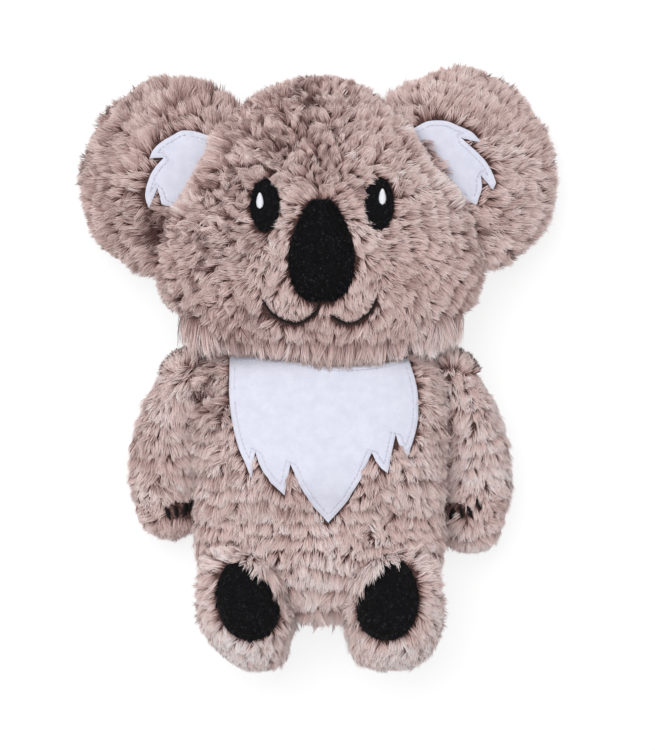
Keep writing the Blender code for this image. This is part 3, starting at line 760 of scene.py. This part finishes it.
def felt_mesh(name, felt, seam):
    """A fine sheet inside the outline, laid on its form, dented along its edge and seam, with thickness."""
    draw = np.random.default_rng(len(name))
    outline = felt.outline + draw.normal(0, FELT_SPACING * 0.04, felt.outline.shape)
    low, high = outline.min(0), outline.max(0)
    xs, ys = np.meshgrid(np.arange(low[0], high[0], FELT_SPACING), np.arange(low[1], high[1], FELT_SPACING))
    grid = np.stack([xs.ravel(), ys.ravel()], axis=-1)
    grid += draw.uniform(-0.2, 0.2, grid.shape) * FELT_SPACING
    grid = grid[felt.covers(grid)]
    grid = grid[felt.gap(grid) > FELT_SPACING * 0.6]
    count = len(outline)
    ring = [(index, (index + 1) % count) for index in range(count)]
    points = [Vector(point) for point in (*outline, *grid)]
    flat, _, faces, _, _, _ = delaunay_2d_cdt(points, ring, [list(range(count))], 1, 1e-7)
    flat = np.array(flat)
    top = felt.raised(flat)
    height = FELT_WAVE * ripple(top, 0.03, len(name))
    height -= FELT_EDGE_DROP * (1 - step_up(0.0, FELT_EDGE_WIDTH, felt.gap(flat)))
    if len(seam):
        near = np.min(np.linalg.norm(flat[:, None] - seam[None], axis=2), axis=1)
        height -= SEAM_DEPTH * (1 - step_up(0.0, SEAM_HALF_WIDTH, near))
    top += felt.up * height[:, None]
    shape = bmesh.new()
    verts = [shape.verts.new(point) for point in top]
    for face in faces:
        shape.faces.new([verts[index] for index in face])
    bmesh.ops.delete(shape, geom=[vert for vert in shape.verts if not vert.link_faces], context="VERTS")
    shape.normal_update()
    if sum(face.normal.dot(Vector(felt.up)) for face in shape.faces) < 0:
        bmesh.ops.reverse_faces(shape, faces=shape.faces)
    return modified(finished(shape, name), ("SOLIDIFY", {"thickness": FELT_THICKNESS, "offset": -1.0}))


# Strands


def strand_mesh(name, rows, sides, normals, widths, tint):
    """Strands as tapered strips, in rows of points from root to tip, each with its own cell of the map."""
    count, levels = rows.shape[:2]
    half = sides[:, None, :] * (np.array(widths) / 2)[None, :, None]
    pairs = np.stack([rows[:, :-1] - half, rows[:, :-1] + half], axis=2).reshape(count, -1, 3)
    verts = np.concatenate([pairs, rows[:, -1:]], axis=1)
    verts[..., 2] = np.maximum(verts[..., 2], LOWEST)
    per = verts.shape[1]
    faces = [(low, low + 1, low + 3, low + 2) for low in range(0, 2 * levels - 4, 2)]
    faces.append((per - 3, per - 2, per - 1))
    sizes = np.array([len(face) for face in faces])
    corner = (np.arange(count)[:, None] * per + np.concatenate(faces)).ravel()
    starts = (np.arange(count)[:, None] * sizes.sum() + np.cumsum(sizes) - sizes).ravel()
    mesh = bpy.data.meshes.new(name)
    mesh.vertices.add(count * per)
    mesh.vertices.foreach_set("co", verts.ravel())
    mesh.loops.add(len(corner))
    mesh.loops.foreach_set("vertex_index", corner.astype(np.int32))
    mesh.polygons.add(len(starts))
    mesh.polygons.foreach_set("loop_start", starts.astype(np.int32))
    mesh.update(calc_edges=True)
    along = np.array(STRAND_ROWS)
    along = np.concatenate([np.repeat(along[:-1], 2), along[-1:]])
    for key, values in (("along", np.tile(along, count)), ("tint", np.repeat(tint, per))):
        mesh.attributes.new(key, "FLOAT", "POINT").data.foreach_set("value", values.astype(np.float32))
    columns = math.ceil(math.sqrt(3 * count))
    lines = math.ceil(count / columns)
    cell = np.stack([np.arange(count) % columns, np.arange(count) // columns], axis=-1)
    across = np.concatenate([np.tile((0.2, 0.8), levels - 1), (0.5,)])
    spots = np.stack([across, 0.1 + 0.8 * along], axis=-1)
    uv = ((cell[:, None, :] + spots[None]) / (columns, lines)).reshape(-1, 2)
    mesh.uv_layers.new(name="OFBake").uv.foreach_set("vector", uv[corner].ravel().astype(np.float32))
    rounded = np.concatenate([np.tile((-0.55, 0.55), levels - 1), (0.0,)])
    facing = unit(normals[:, None, :] + sides[:, None, :] * rounded[None, :, None])
    mesh.normals_split_custom_set_from_vertices(facing.reshape(-1, 3).tolist())
    return mesh


class Tufts:
    """Where the tufts of a form stand and how they lie, one row of each array for each tuft."""

    def __init__(self, form, flow, seed):
        self.draw, self.form = np.random.default_rng(seed), form
        self.normal = vectors_of(form.mesh.polygons, "normal")
        self.place = vectors_of(form.mesh.polygons, "center")
        raw = flow(self.place) + np.array((0.0, 0.0, -0.3))
        raw -= (raw * self.normal).sum(1, keepdims=True) * self.normal
        self.way = unit(raw)
        self.side = np.cross(self.normal, self.way)
        count = len(self.place)
        sway = self.draw.uniform(-TUFT_SWAY, TUFT_SWAY, (count, 2)) * form.spacing
        self.place = self.place + self.way * sway[:, :1] + self.side * sway[:, 1:]
        self.length, self.lift, self.press = np.zeros(count), np.zeros(count), np.ones(count)
        self.tint, self.pull, self.bend = np.zeros(count), np.zeros(count), np.zeros(count)
        self.ruffle, self.loose = np.zeros(count), np.zeros(count, bool)

    def turn(self, angles):
        way = self.way * np.cos(angles)[:, None] + self.side * np.sin(angles)[:, None]
        self.way, self.side = way, np.cross(self.normal, way)

    def keep(self, chosen):
        for key, value in vars(self).items():
            if isinstance(value, np.ndarray):
                setattr(self, key, value[chosen])

    def give(self, chosen, **values):
        """Gives the chosen tufts these values."""
        for key, value in values.items():
            old = getattr(self, key)
            setattr(self, key, np.where(chosen[:, None] if old.ndim == 2 else chosen, value, old))

    def comb(self, length, lift_deg):
        """Length, lift and turn of the pile, wilder where it is ruffled."""
        count, draw, ruffle = len(self.place), self.draw, self.ruffle
        self.length = length * (1 - 0.20 * ruffle) * draw.uniform(0.92, 1.08, count)
        lift_deg = lift_deg + RUFFLED_LIFT_DEG * ruffle
        self.lift = np.radians(lift_deg + draw.normal(0, 2 + 4 * ruffle, count))
        self.turn(0.22 * ripple(self.place, 0.030, 7) + draw.normal(0, 0.05, count))
        # Painted shade where the pile is ruffled, and the pile's own tone that differs at random
        self.tint = TINT - RUFFLED_PAINTED_SHADE * ruffle + 0.08 * ripple(self.place, 0.02, 8)
        self.tint += draw.normal(0, 0.05, count)

    def cells(self, width):
        """Irregular patches of about this width: the patch of each tuft, their count and their middles."""
        number = max(1, round(len(self.place) * (self.form.spacing / width) ** 2))
        middles = self.place[self.draw.choice(len(self.place), number, replace=False)]
        tree = KDTree(number)
        for index, middle in enumerate(middles):
            tree.insert(middle, index)
        tree.balance()
        return np.array([tree.find(point)[1] for point in self.place]), number, middles

    def lock(self, width, turn):
        """Groups the tufts into locks, which share a turn and draw together towards their tips."""
        owner, count, middles = self.cells(width)
        draw, ruffle = self.draw, self.ruffle
        self.turn(draw.normal(0, 1, count)[owner] * (turn + RUFFLED_TURN * ruffle))
        offset = ((self.place - middles[owner]) * self.side).sum(1)
        self.pull = -offset * (CALM_GATHERING + (RUFFLED_GATHERING - CALM_GATHERING) * ruffle)
        outer = np.clip(np.abs(offset) / width * 2, 0, 1)
        self.length *= 1 + (0.04 + 0.16 * ruffle) * draw.uniform(-1, 1, count)[owner] - 0.3 * ruffle * outer
        self.lift += np.radians(draw.normal(0, 1, count)[owner] * (2 + 8 * ruffle))
        self.bend = draw.normal(0, 0.0006, count)[owner] * (1 + 2 * ruffle)
        self.tint += draw.normal(0, 1, count)[owner] * (0.05 + 0.16 * ruffle)

    def rows(self, along, period, strength):
        """Gathers the tufts into rows of shingles across the flow. A shingle's tips end on one line."""
        owner, count, _ = self.cells(SHINGLE_WIDTH)
        self.turn(self.draw.normal(0, 0.10, count)[owner])
        sway = 0.40 * ripple(self.place, 0.045, 3) + 0.28 * self.draw.uniform(-1, 1, count)[owner]
        phase = along / period + sway
        left = (np.ceil(phase) - phase) * period
        reach = np.clip(left + ROW_OVERHANG, ROW_SHORTEST, self.length * 1.25)
        self.length += strength * (reach - self.length)
        self.lift += strength * np.radians(10) * (0.5 - left / period)
        front = step_up(-0.1, 0.6, self.normal[:, 2])
        # Painted shade at the roots that show below the tips of the row before
        self.tint -= strength * ROW_PAINTED_SHADE * step_up(0.70, 1.0, left / period) * front
        # Painted light on the pile that faces sideways and down
        self.tint += SIDES_PAINTED_LIGHT * (1 - front)

    def press_under(self, forms):
        """Flattens the tufts that another form or the floor covers."""
        out = self.place + self.normal * 0.003
        for form in forms:
            self.give(form.holds(out), press=PRESSED, length=self.length * 0.7)
        self.give(self.place[:, 2] < 0.002, press=0.0)

    def aim(self):
        """The ways in which the tufts point, seen from above, and the shares of their lengths that show."""
        ahead = self.way * np.cos(self.lift)[:, None]
        ahead = (ahead + self.normal * (np.sin(self.lift) * self.press)[:, None])[:, :2]
        return unit(ahead), np.linalg.norm(ahead, axis=1)

    def until(self, line):
        """How far each tuft is from a line in the plane of the floor, along its way."""
        ahead, _ = self.aim()
        reach = np.full(len(self.place), np.inf)
        for start, end in zip(line, line[1:]):
            along, gap = end - start, start - self.place[:, :2]
            turn = ahead[:, 0] * along[1] - ahead[:, 1] * along[0] + 1e-12
            far = (gap[:, 0] * along[1] - gap[:, 1] * along[0]) / turn
            share = (gap[:, 0] * ahead[:, 1] - gap[:, 1] * ahead[:, 0]) / turn
            reach = np.where((far > 0) & (share >= 0) & (share <= 1) & (far < reach), far, reach)
        return reach

    def end_on(self, line):
        """Shortens the tufts that would lie across a line."""
        _, share = self.aim()
        reach = self.until(line)
        self.give(reach < self.length * share, length=np.maximum(reach / share, 0.0015))

    def point(self, chosen, aim):
        """Turns and lifts the chosen tufts so that they point one way, whatever the slope below them."""
        aim = unit(np.array(aim, float) + np.zeros((len(self.place), 3)))
        rise = (self.normal * aim).sum(1)
        way = unit(aim - rise[:, None] * self.normal)
        self.give(chosen & (rise > -0.3), way=way, lift=np.arcsin(np.clip(rise, 0.1, 0.99)), press=1.0)
        self.side = np.cross(self.normal, self.way)

    def hang_over(self, form, line):
        """Lets the tufts at an edge hang out over another form, with their tips on a line."""
        before = copy.copy(self)
        lowest = np.median(form.below(line)[:, 2]) - FRINGE_DEPTH
        edge = (self.normal[:, 2] < 0.8) & (self.normal[:, 2] > -0.3) & (self.place[:, 2] > lowest)
        out = np.array((line[0, 1] - line[-1, 1], line[-1, 0] - line[0, 0]))
        out *= np.sign(out @ (line.mean(0) - FACE_CENTRE))
        self.point(edge, (*unit(out), -FRINGE_DROP))
        owner, count, _ = self.cells(FRINGE_LOCK)
        sway = self.draw.normal(0, 0.26, count)[owner] + self.draw.normal(0, 0.08, len(owner))
        self.turn(np.where(edge, sway, 0))
        reach = self.until(line)
        hangs = edge & (reach < FRINGE_LONGEST)
        self.give(~hangs, way=before.way, side=before.side, lift=before.lift, press=before.press)
        _, share = self.aim()
        length = np.maximum(reach * self.draw.uniform(0.84, 1.06, count)[owner] / share, 0.003)
        # Painted light on the hanging tufts, which lie in the shade of the pile above them
        self.give(hangs, length=length, loose=True, tint=self.tint + FRINGE_PAINTED_LIGHT)
        self.end_on(line)

    def clear(self, felt, overlap, sunk):
        """Drops or sinks the tufts below an outline, and shortens those beside it that would cross it."""
        flat, ahead = felt.flat(self.place), felt.flat(self.way)
        facing = self.normal @ felt.up > 0.1
        covered = facing & felt.covers(flat)
        reach = self.length * np.cos(self.lift)
        room = reach + overlap
        for share in np.linspace(1.0, 0.1, 10):
            over = felt.covers(flat + ahead * (reach * share)[:, None])
            room = np.where(over, reach * (share - 0.05) + overlap, room)
        crossing = facing & ~covered & (room < reach)
        short = np.maximum(room, SHORTEST) / np.cos(self.lift)
        self.give(crossing, lift=self.lift + (1 - short / self.length) * 0.5, length=short)
        if sunk:
            # Sunk tufts are painted dark as painted shade
            self.give(covered, length=SUNK_LENGTH, tint=HOLLOW_PAINTED_SHADE)
        else:
            self.keep(~covered)


def grow(tufts, name, material, strands=STRANDS, width=STRAND_WIDTH, stray=STRAND_STRAY, rests_on=()):
    """The strands of these tufts, in pieces that stay under the count of triangles."""
    draw, count = tufts.draw, len(tufts.place)
    number = count * strands
    owner = np.repeat(np.arange(count), strands)
    radius = np.sqrt(draw.uniform(0, 1, number)) * TUFT_SPREAD * tufts.form.spacing
    angle = draw.uniform(0, math.tau, number)
    way, side, normal = tufts.way[owner], tufts.side[owner], tufts.normal[owner]
    offset = way * (radius * np.cos(angle))[:, None] + side * (radius * np.sin(angle))[:, None]
    root = tufts.place[owner] + offset - normal * ROOT_SINK
    length = tufts.length[owner] * draw.uniform(0.78, 1.1, number)
    lift = tufts.lift[owner] + draw.normal(0, 0.07, number)
    ahead, rise = np.cos(lift) * length, np.sin(lift) * length * tufts.press[owner]
    tip = tufts.place[owner] + offset * (1 - GATHERING) + way * ahead[:, None] + normal * rise[:, None]
    tip += side * (tufts.pull + tufts.bend)[owner][:, None] + draw.normal(0, stray, (number, 3))
    middle = root + way * (ahead * 0.32)[:, None] + normal * (rise * 0.85 + ROOT_SINK)[:, None]
    middle += side * (tufts.pull * 0.3)[owner][:, None] + draw.normal(0, stray, (number, 3))
    t = np.array(STRAND_ROWS)[None, :, None]
    rows = root[:, None] * (1 - t) ** 2 + middle[:, None] * 2 * t * (1 - t) + tip[:, None] * t * t
    loose = tufts.loose[owner]
    for form in rests_on:
        outer = rows[loose, 1:]
        floor = form.below(outer[..., :2].reshape(-1, 2))[:, 2].reshape(outer.shape[:2])
        outer[..., 2] = np.maximum(outer[..., 2], floor + REST_HEIGHT)
        rows[loose, 1:] = outer
    lean = draw.uniform(-0.8, 0.8, number)[:, None]
    step = unit(tip - root)
    across = unit(np.cross(step, normal))
    sides = across * np.cos(lean) + np.cross(across, step) * np.sin(lean)
    normals = unit(normal * 0.9 + np.cross(sides, step) * 0.5 + np.array(UP) * 0.4)
    tint = np.clip(tufts.tint[owner] + draw.normal(0, 0.09, number), 0, 1)
    widths = np.array(STRAND_WIDTHS) * width
    share = MAX_TRIANGLES // STRAND_TRIANGLES
    for start in range(0, number, share):
        part = slice(start, start + share)
        label = name if number <= share else f"{name}_{start // share + 1}"
        mesh = strand_mesh(label, rows[part], sides[part], normals[part], widths, tint[part])
        dress(label, mesh, material, tufts.form.body)


# Threads


def tube(shape, path, radius):
    """A round thread with narrow ends along this path."""
    across, up = beside_path(path)
    angles = np.arange(THREAD_SIDES) * math.tau / THREAD_SIDES
    rings = []
    for index, point in enumerate(path):
        size = radius * (0.55 if index in (0, len(path) - 1) else 1.0)
        ring = [point + size * (math.cos(a) * across[index] + math.sin(a) * up[index]) for a in angles]
        rings.append([shape.verts.new(corner) for corner in ring])
    for lower, upper in zip(rings, rings[1:]):
        for index in range(THREAD_SIDES):
            after = (index + 1) % THREAD_SIDES
            shape.faces.new((lower[index], lower[after], upper[after], upper[index]))
    shape.faces.new(rings[0][::-1])
    shape.faces.new(rings[-1])


def make_threads(name, paths, radius, material, body, *nodes):
    shape = bmesh.new()
    for path in paths:
        tube(shape, path, radius)
    bmesh.ops.recalc_face_normals(shape, faces=shape.faces)
    mesh = finished(shape, name)
    mesh.shade_smooth()
    dress(name, mesh, material, body, *nodes)


def make_stitches(name, felt, material):
    """Machine stitches along the edge of a felt piece."""
    path = felt.raised(resampled(felt.inset(STITCH_INSET), STITCH_STEP), STITCH_LIFT)
    stitch, pitch = round(STITCH / STITCH_STEP), round(STITCH_PITCH / STITCH_STEP)
    paths = []
    for start in range(0, len(path) - stitch, pitch):
        part = path[start : start + stitch + 1 : 4]
        if np.linalg.norm(part[0] - part[-1]) < STITCH * 1.2:  # else it crosses a gap in the seam
            paths.append(part)
    make_threads(f"{name}_stitches", paths, STITCH_RADIUS, material, felt.form.body)


def make_satin(name, pitch, material):
    """Satin stitches that fill an outline from side to side."""
    felt = felts[name]
    ring, after = felt.outline, np.roll(felt.outline, -1, 0)
    share = np.linspace(0, 1, 5)
    paths = []
    for y in np.arange(ring[:, 1].min() + pitch / 2, ring[:, 1].max(), pitch):
        crossed = (ring[:, 1] > y) != (after[:, 1] > y)
        start, end = ring[crossed], after[crossed]
        ends = start[:, 0] + (y - start[:, 1]) * (end[:, 0] - start[:, 0]) / (end[:, 1] - start[:, 1])
        if len(ends) > 1 and np.ptp(ends) > pitch:
            row = np.stack([ends.min() + np.ptp(ends) * share, np.full(5, y)], axis=-1)
            paths.append(felt.raised(row) + felt.up * (SATIN_CROWN * np.sin(share * math.pi))[:, None])
    make_threads(f"{name}_satin", paths, pitch * SATIN_THREAD, material, felt.form.body, name)


def make_mouth(side):
    """One arc of the mouth, of two plies of thread that twist about each other."""
    name = f"mouth_{side}"
    path = resampled(felts[name].raised(smooth_path(from_px(MOUTH_PX[side]), MOUTH_CURVE_STEPS)), PLY_STEP)
    across, up = beside_path(path)
    plies = []
    for start in (0, math.pi):
        turn = start + np.arange(len(path)) * math.tau / PLY_STEPS
        plies.append(path + (np.cos(turn)[:, None] * across + np.sin(turn)[:, None] * up) * PLY_OFFSET)
    make_threads(f"{name}_cord", plies, PLY_RADIUS, BLACK_THREAD, "head", name)


def make_nap(name, ground, up, length, strands):
    """Short fibres that stand on a black felt piece."""
    tufts = Tufts(ground, body_flow, len(name) + 50)
    tufts.keep(tufts.normal @ up > 0.25)
    count = len(tufts.place)
    tufts.length = tufts.draw.uniform(0.7, 1.3, count) * length
    tufts.lift = np.radians(tufts.draw.uniform(15, 50, count))
    tufts.turn(tufts.draw.uniform(-1.2, 1.2, count))
    tufts.tint = tufts.draw.uniform(0, 1, count) ** 2
    grow(tufts, f"{name}_nap", BLACK_NAP, strands, NAP_WIDTH, NAP_STRAY)


# Flow of the pile on each form, and how far along it the points are, which sets the rows


def body_flow(points):
    upper = step_up(-0.03, 0.02, points[:, 1])
    return level(points[:, 0] * (3 + 9 * upper), np.full(len(points), -1.0))


def head_flow(points):
    out = points[:, :2] - FACE_CENTRE
    out = out / (np.linalg.norm(out, axis=1, keepdims=True) + 0.008)
    low = step_up(0.045, 0.022, points[:, 1])
    return level(out[:, 0] * (1 - 0.8 * low), out[:, 1] - 0.25)


def ear_seam(side):
    """A point of the seam between an ear and the head, and the way along it, both seen from above."""
    joint = next(joint for joint in frame["joints"] if joint["name"] == f"{side}_ear_flap")
    return np.array(joint["pos_m"][:2]), np.array(joint["axis"][:2])


def ear_flow(side):
    seam, along = ear_seam(side)
    out = np.array((-along[1], along[0]))
    out *= np.sign(out[0] * seam[0])
    root = seam - out * 0.012
    return lambda points: level(*unit(points[:, :2] - root).T)


def arm_flow(side):
    low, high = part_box(f"{side}_arm")
    middle, half = (low.x + high.x) / 2, (high.x - low.x) / 2
    outwards = -1 if side == "left" else 1

    def flow(points):
        lower = step_up(0, 0.04, high.y - points[:, 1])
        sideways = outwards * (1 - lower) * 0.8 + (points[:, 0] - middle) / half * 0.7
        return level(sideways, -0.35 - 0.65 * lower)

    return flow


def leg_flow(side):
    """Outwards from the foot pad, and combed down over its upper edge."""
    low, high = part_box(f"{side}_foot_pad")
    centre = np.array(((low.x + high.x) / 2, (low.y + high.y) / 2))
    inner = 1 if side == "left" else -1

    def flow(points):
        away = (points[:, :2] - centre) / 0.025
        over = step_up(0.35, 0.8, unit(away) @ (0.6 * inner, 0.8))
        return level(away[:, 0] * (1 - over) - 0.3 * inner * over, (away[:, 1] - 0.5) * (1 - over) - over)

    return flow


def downwards(points):
    return -points[:, 1]


def away_from(centre):
    return lambda points: np.linalg.norm(points[:, :2] - centre, axis=1)


# Piles


def edge_of_head(tufts):
    """The pile that hangs over the bib and the ears, and the painted shade of the crease below the mouth."""
    for other, line_px in FRINGES_PX.items():
        tufts.hang_over(forms[other], from_px(line_px))
    gap = from_path(tufts.place[:, :2], from_px(CREASE_PX))
    crease_shade = CREASE_PAINTED_SHADE + 0.18 * ripple(tufts.place, 0.02, 31)
    # Painted shade along the crease
    tufts.tint = tufts.tint - crease_shade * np.exp(-((gap / CREASE_HALF_WIDTH) ** 2))


def raise_shoulder(tufts):
    """The pile at the inner corner of a shoulder, which stands up into the crook of the neck."""
    x, y, _ = tufts.place.T
    top = (y > SHOULDER_Y) & (tufts.normal[:, 1] > 0.25) & (np.abs(x) < SHOULDER_OUTER + 0.002)
    inner = step_up(SHOULDER_OUTER, SHOULDER_INNER, np.abs(x))
    outwards = np.sign(x.mean()) * (0.9 - 1.2 * inner)
    tufts.point(top, np.stack([outwards, 0.4 + 0.6 * inner, 0.2 + 0 * x], axis=-1))
    owner, count, _ = tufts.cells(SHOULDER_LOCK)
    tufts.turn(np.where(top, tufts.draw.normal(0, 0.35, count)[owner], 0))
    tufts.give(top, length=SHOULDER_LENGTH + SHOULDER_LONGER * inner)


def make_pile(name, seed, flow, row_distance, covered_by, beside, adjust=None):
    """The pile of one form: combed, locked, in rows, kept off its felt pieces and below its neighbours."""
    coat = COATS[name]
    tufts = Tufts(forms[name], flow, seed)
    ruffle = patched(RUFFLES.get(name, OTHER_RUFFLES), tufts.place)
    tufts.ruffle = np.clip(ruffle + 0.18 * ripple(tufts.place, 0.035, 5), 0, 1)
    tufts.comb(coat.length, coat.lift_deg)
    tufts.lock(coat.lock, coat.turn)
    tufts.rows(row_distance(tufts.place), coat.period, coat.strength * (1 - 0.7 * tufts.ruffle))
    tufts.length = tufts.length * (1 + patched(TRIMS[name], tufts.place))
    tufts.press_under([forms[other] for other in covered_by])
    if adjust:
        adjust(tufts)
    # Painted light and shade of the pile, by patches
    tufts.tint = tufts.tint + patched(PAINTED_LIGHT_AND_SHADE[name], tufts.place)
    for felt in beside:
        tufts.clear(felts[felt], OVERLAPS.get(felt, 0.0), "hollow" in felt)
    if name in FLAT_BACKED:
        below = tufts.normal[:, 2] < -0.3
        under = copy.copy(tufts)
        under.keep(below)
        tufts.keep(~below)
        grow(under, f"{name}_underside", PLUSH, UNDER_STRANDS, UNDER_WIDTH)
    rests_on = [forms[other] for other in covered_by] if tufts.loose.any() else []
    grow(tufts, f"{name}_pile", PLUSH, rests_on=rests_on)


# Stage


def make_floor():
    """A pale floor that is white towards the camera and in mirrors, apart from the koala's shadow."""
    corners = [(x * FLOOR_HALF, y * FLOOR_HALF, 0) for x, y in ((-1, -1), (1, -1), (1, 1), (-1, 1))]
    mesh = bpy.data.meshes.new("floor")
    mesh.from_pydata(corners, [], [(0, 1, 2, 3)])
    paint = Paint("floor", roughness=1.0, specular=0.0)
    rays = paint.node("ShaderNodeLightPath").outputs
    seen = rays["Is Camera Ray"]
    for name in ("Is Glossy Ray", "Is Transmission Ray"):
        either = paint.node("ShaderNodeMath", {"operation": "MAXIMUM"})
        paint.put(seen, either.inputs[0])
        paint.put(rays[name], either.inputs[1])
        seen = either.outputs[0]
    colour = paint.mix(seen, (FLOOR_COLOUR,) * 3, (FLOOR_SEEN_COLOUR,) * 3)
    glow = paint.node("ShaderNodeMath", {"operation": "MULTIPLY"})
    paint.put(seen, glow.inputs[0])
    glow.inputs[1].default_value = FLOOR_SEEN_GLOW
    paint.shader.inputs["Emission Color"].default_value = (1.0, 1.0, 1.0, 1.0)
    paint.put(glow.outputs[0], paint.shader.inputs["Emission Strength"])
    mesh.materials.append(paint.finish(colour))
    add_object("floor", mesh)


def make_light():
    world = bpy.data.worlds.new("studio")
    world.use_nodes = True
    sky = world.node_tree.nodes["Background"]
    sky.inputs["Color"].default_value = (1.0, 1.0, 1.0, 1.0)
    sky.inputs["Strength"].default_value = SKY_STRENGTH
    bpy.context.scene.world = world
    bpy.context.scene.view_settings.view_transform = "Standard"
    lamp = bpy.data.lights.new("key", "SUN")
    lamp.energy = KEY_STRENGTH
    lamp.angle = math.radians(KEY_SOFTNESS_DEG)
    add_object("key", lamp).rotation_euler = Vector(KEY_TOWARD).to_track_quat("-Z", "Y").to_euler()


def make_camera():
    data = bpy.data.cameras.new("camera")
    data.sensor_fit = "VERTICAL"
    data.sensor_height = SENSOR
    data.lens = SENSOR * CAMERA_DISTANCE / (PHOTO_HEIGHT_PX * METRES_PER_PX)
    data.clip_end = 20.0
    camera = add_object("camera", data)
    camera.location = (*from_px((PHOTO_WIDTH_PX / 2, PHOTO_HEIGHT_PX / 2)), FOCUS_Z + CAMERA_DISTANCE)
    bpy.context.scene.camera = camera


# The koala

make_floor()
make_light()
make_camera()

forms = {name: Form([name, f"{name}_stuffing"], coat.body) for name, coat in COATS.items()}
for name, form in forms.items():
    backing = dress(f"{name}_backing", form.mesh, PAINTED_SHADE_BACKING, form.body, name, f"{name}_stuffing")
forms["nose"] = Form(["nose", "nose_wadding"], "head", NOSE_SPACING, NOSE_SMOOTHING_STEPS)

SEWN_ON = {
    "bib": ("body", WHITE_FELT),
    "left_ear_felt": ("left_ear", WHITE_FELT),
    "right_ear_felt": ("right_ear", WHITE_FELT),
    "left_foot_pad": ("left_leg", BLACK_FELT),
    "right_foot_pad": ("right_leg", BLACK_FELT),
    "left_eye": ("head", BLACK_FELT),
    "right_eye": ("head", BLACK_FELT),
}
UNSEAMED = ("left_eye", "right_eye")
felts = {name: cut_from(name, forms[form], FELT_LIFT) for name, (form, _) in SEWN_ON.items()}
felts["nose"] = cut_from("nose", forms["head"], 0.0, 0.02)
for side in SIDES:
    felts[f"{side}_eye_glint"] = cut_from(f"{side}_eye_glint", forms["head"], GLINT_LIFT)
    felts[f"mouth_{side}"] = mouth_line(side)
    felts[f"{side}_hollow"] = hollow(side)
    for claw in CLAWS[side]:
        felts[claw] = cut_from(claw, forms[f"{side}_arm"], CLAW_LIFT)

cloths = {}
for name, (form, material) in SEWN_ON.items():
    seam = () if name in UNSEAMED else felts[name].inset(STITCH_INSET)
    mesh = felt_mesh(name, felts[name], seam)
    cloths[name] = dress(f"{name}_cloth", mesh, material, forms[form].body, name)
nose = dress("nose_cloth", forms["nose"].mesh, BLACK_FELT, "head", "nose", "nose_wadding")

for name, (form, material) in SEWN_ON.items():
    if name not in UNSEAMED:
        make_stitches(name, felts[name], SEWING_THREAD if material == WHITE_FELT else BLACK_THREAD)
    if material == BLACK_FELT:
        ground = Ground(cloths[name].data, FELT_SPACING, forms[form].body)
        make_nap(name, ground, felts[name].up, NAP_LENGTH, NAP_STRANDS)
make_nap("nose", forms["nose"], np.array(UP), NOSE_NAP_LENGTH, NOSE_NAP_STRANDS)
for side in SIDES:
    make_mouth(side)
    make_satin(f"{side}_eye_glint", GLINT_PITCH, WHITE_THREAD)
    for claw in CLAWS[side]:
        make_satin(claw, CLAW_PITCH, BLACK_THREAD)

LIMBS = ["left_leg", "right_leg", "left_arm", "right_arm"]
EARS = ["left_ear", "right_ear"]
FACE = ["left_eye", "right_eye", "nose", "mouth_left", "mouth_right"]
make_pile("body", 1, body_flow, downwards, ["head", *LIMBS], ["bib"])
make_pile("head", 2, head_flow, away_from(FACE_CENTRE), ["body", *EARS], FACE, edge_of_head)
for index, side in enumerate(SIDES):
    ear, arm, leg = f"{side}_ear", f"{side}_arm", f"{side}_leg"
    centre = ear_seam(side)[0] * EAR_ROWS_CENTRE
    make_pile(ear, 10 + index, ear_flow(side), away_from(centre), ["head"], [f"{side}_ear_felt"])
    beside = [*CLAWS[side], f"{side}_hollow"]
    make_pile(arm, 20 + index, arm_flow(side), downwards, ["body"], beside, raise_shoulder)
    make_pile(leg, 30 + index, leg_flow(side), downwards, ["body"], [f"{side}_foot_pad"])
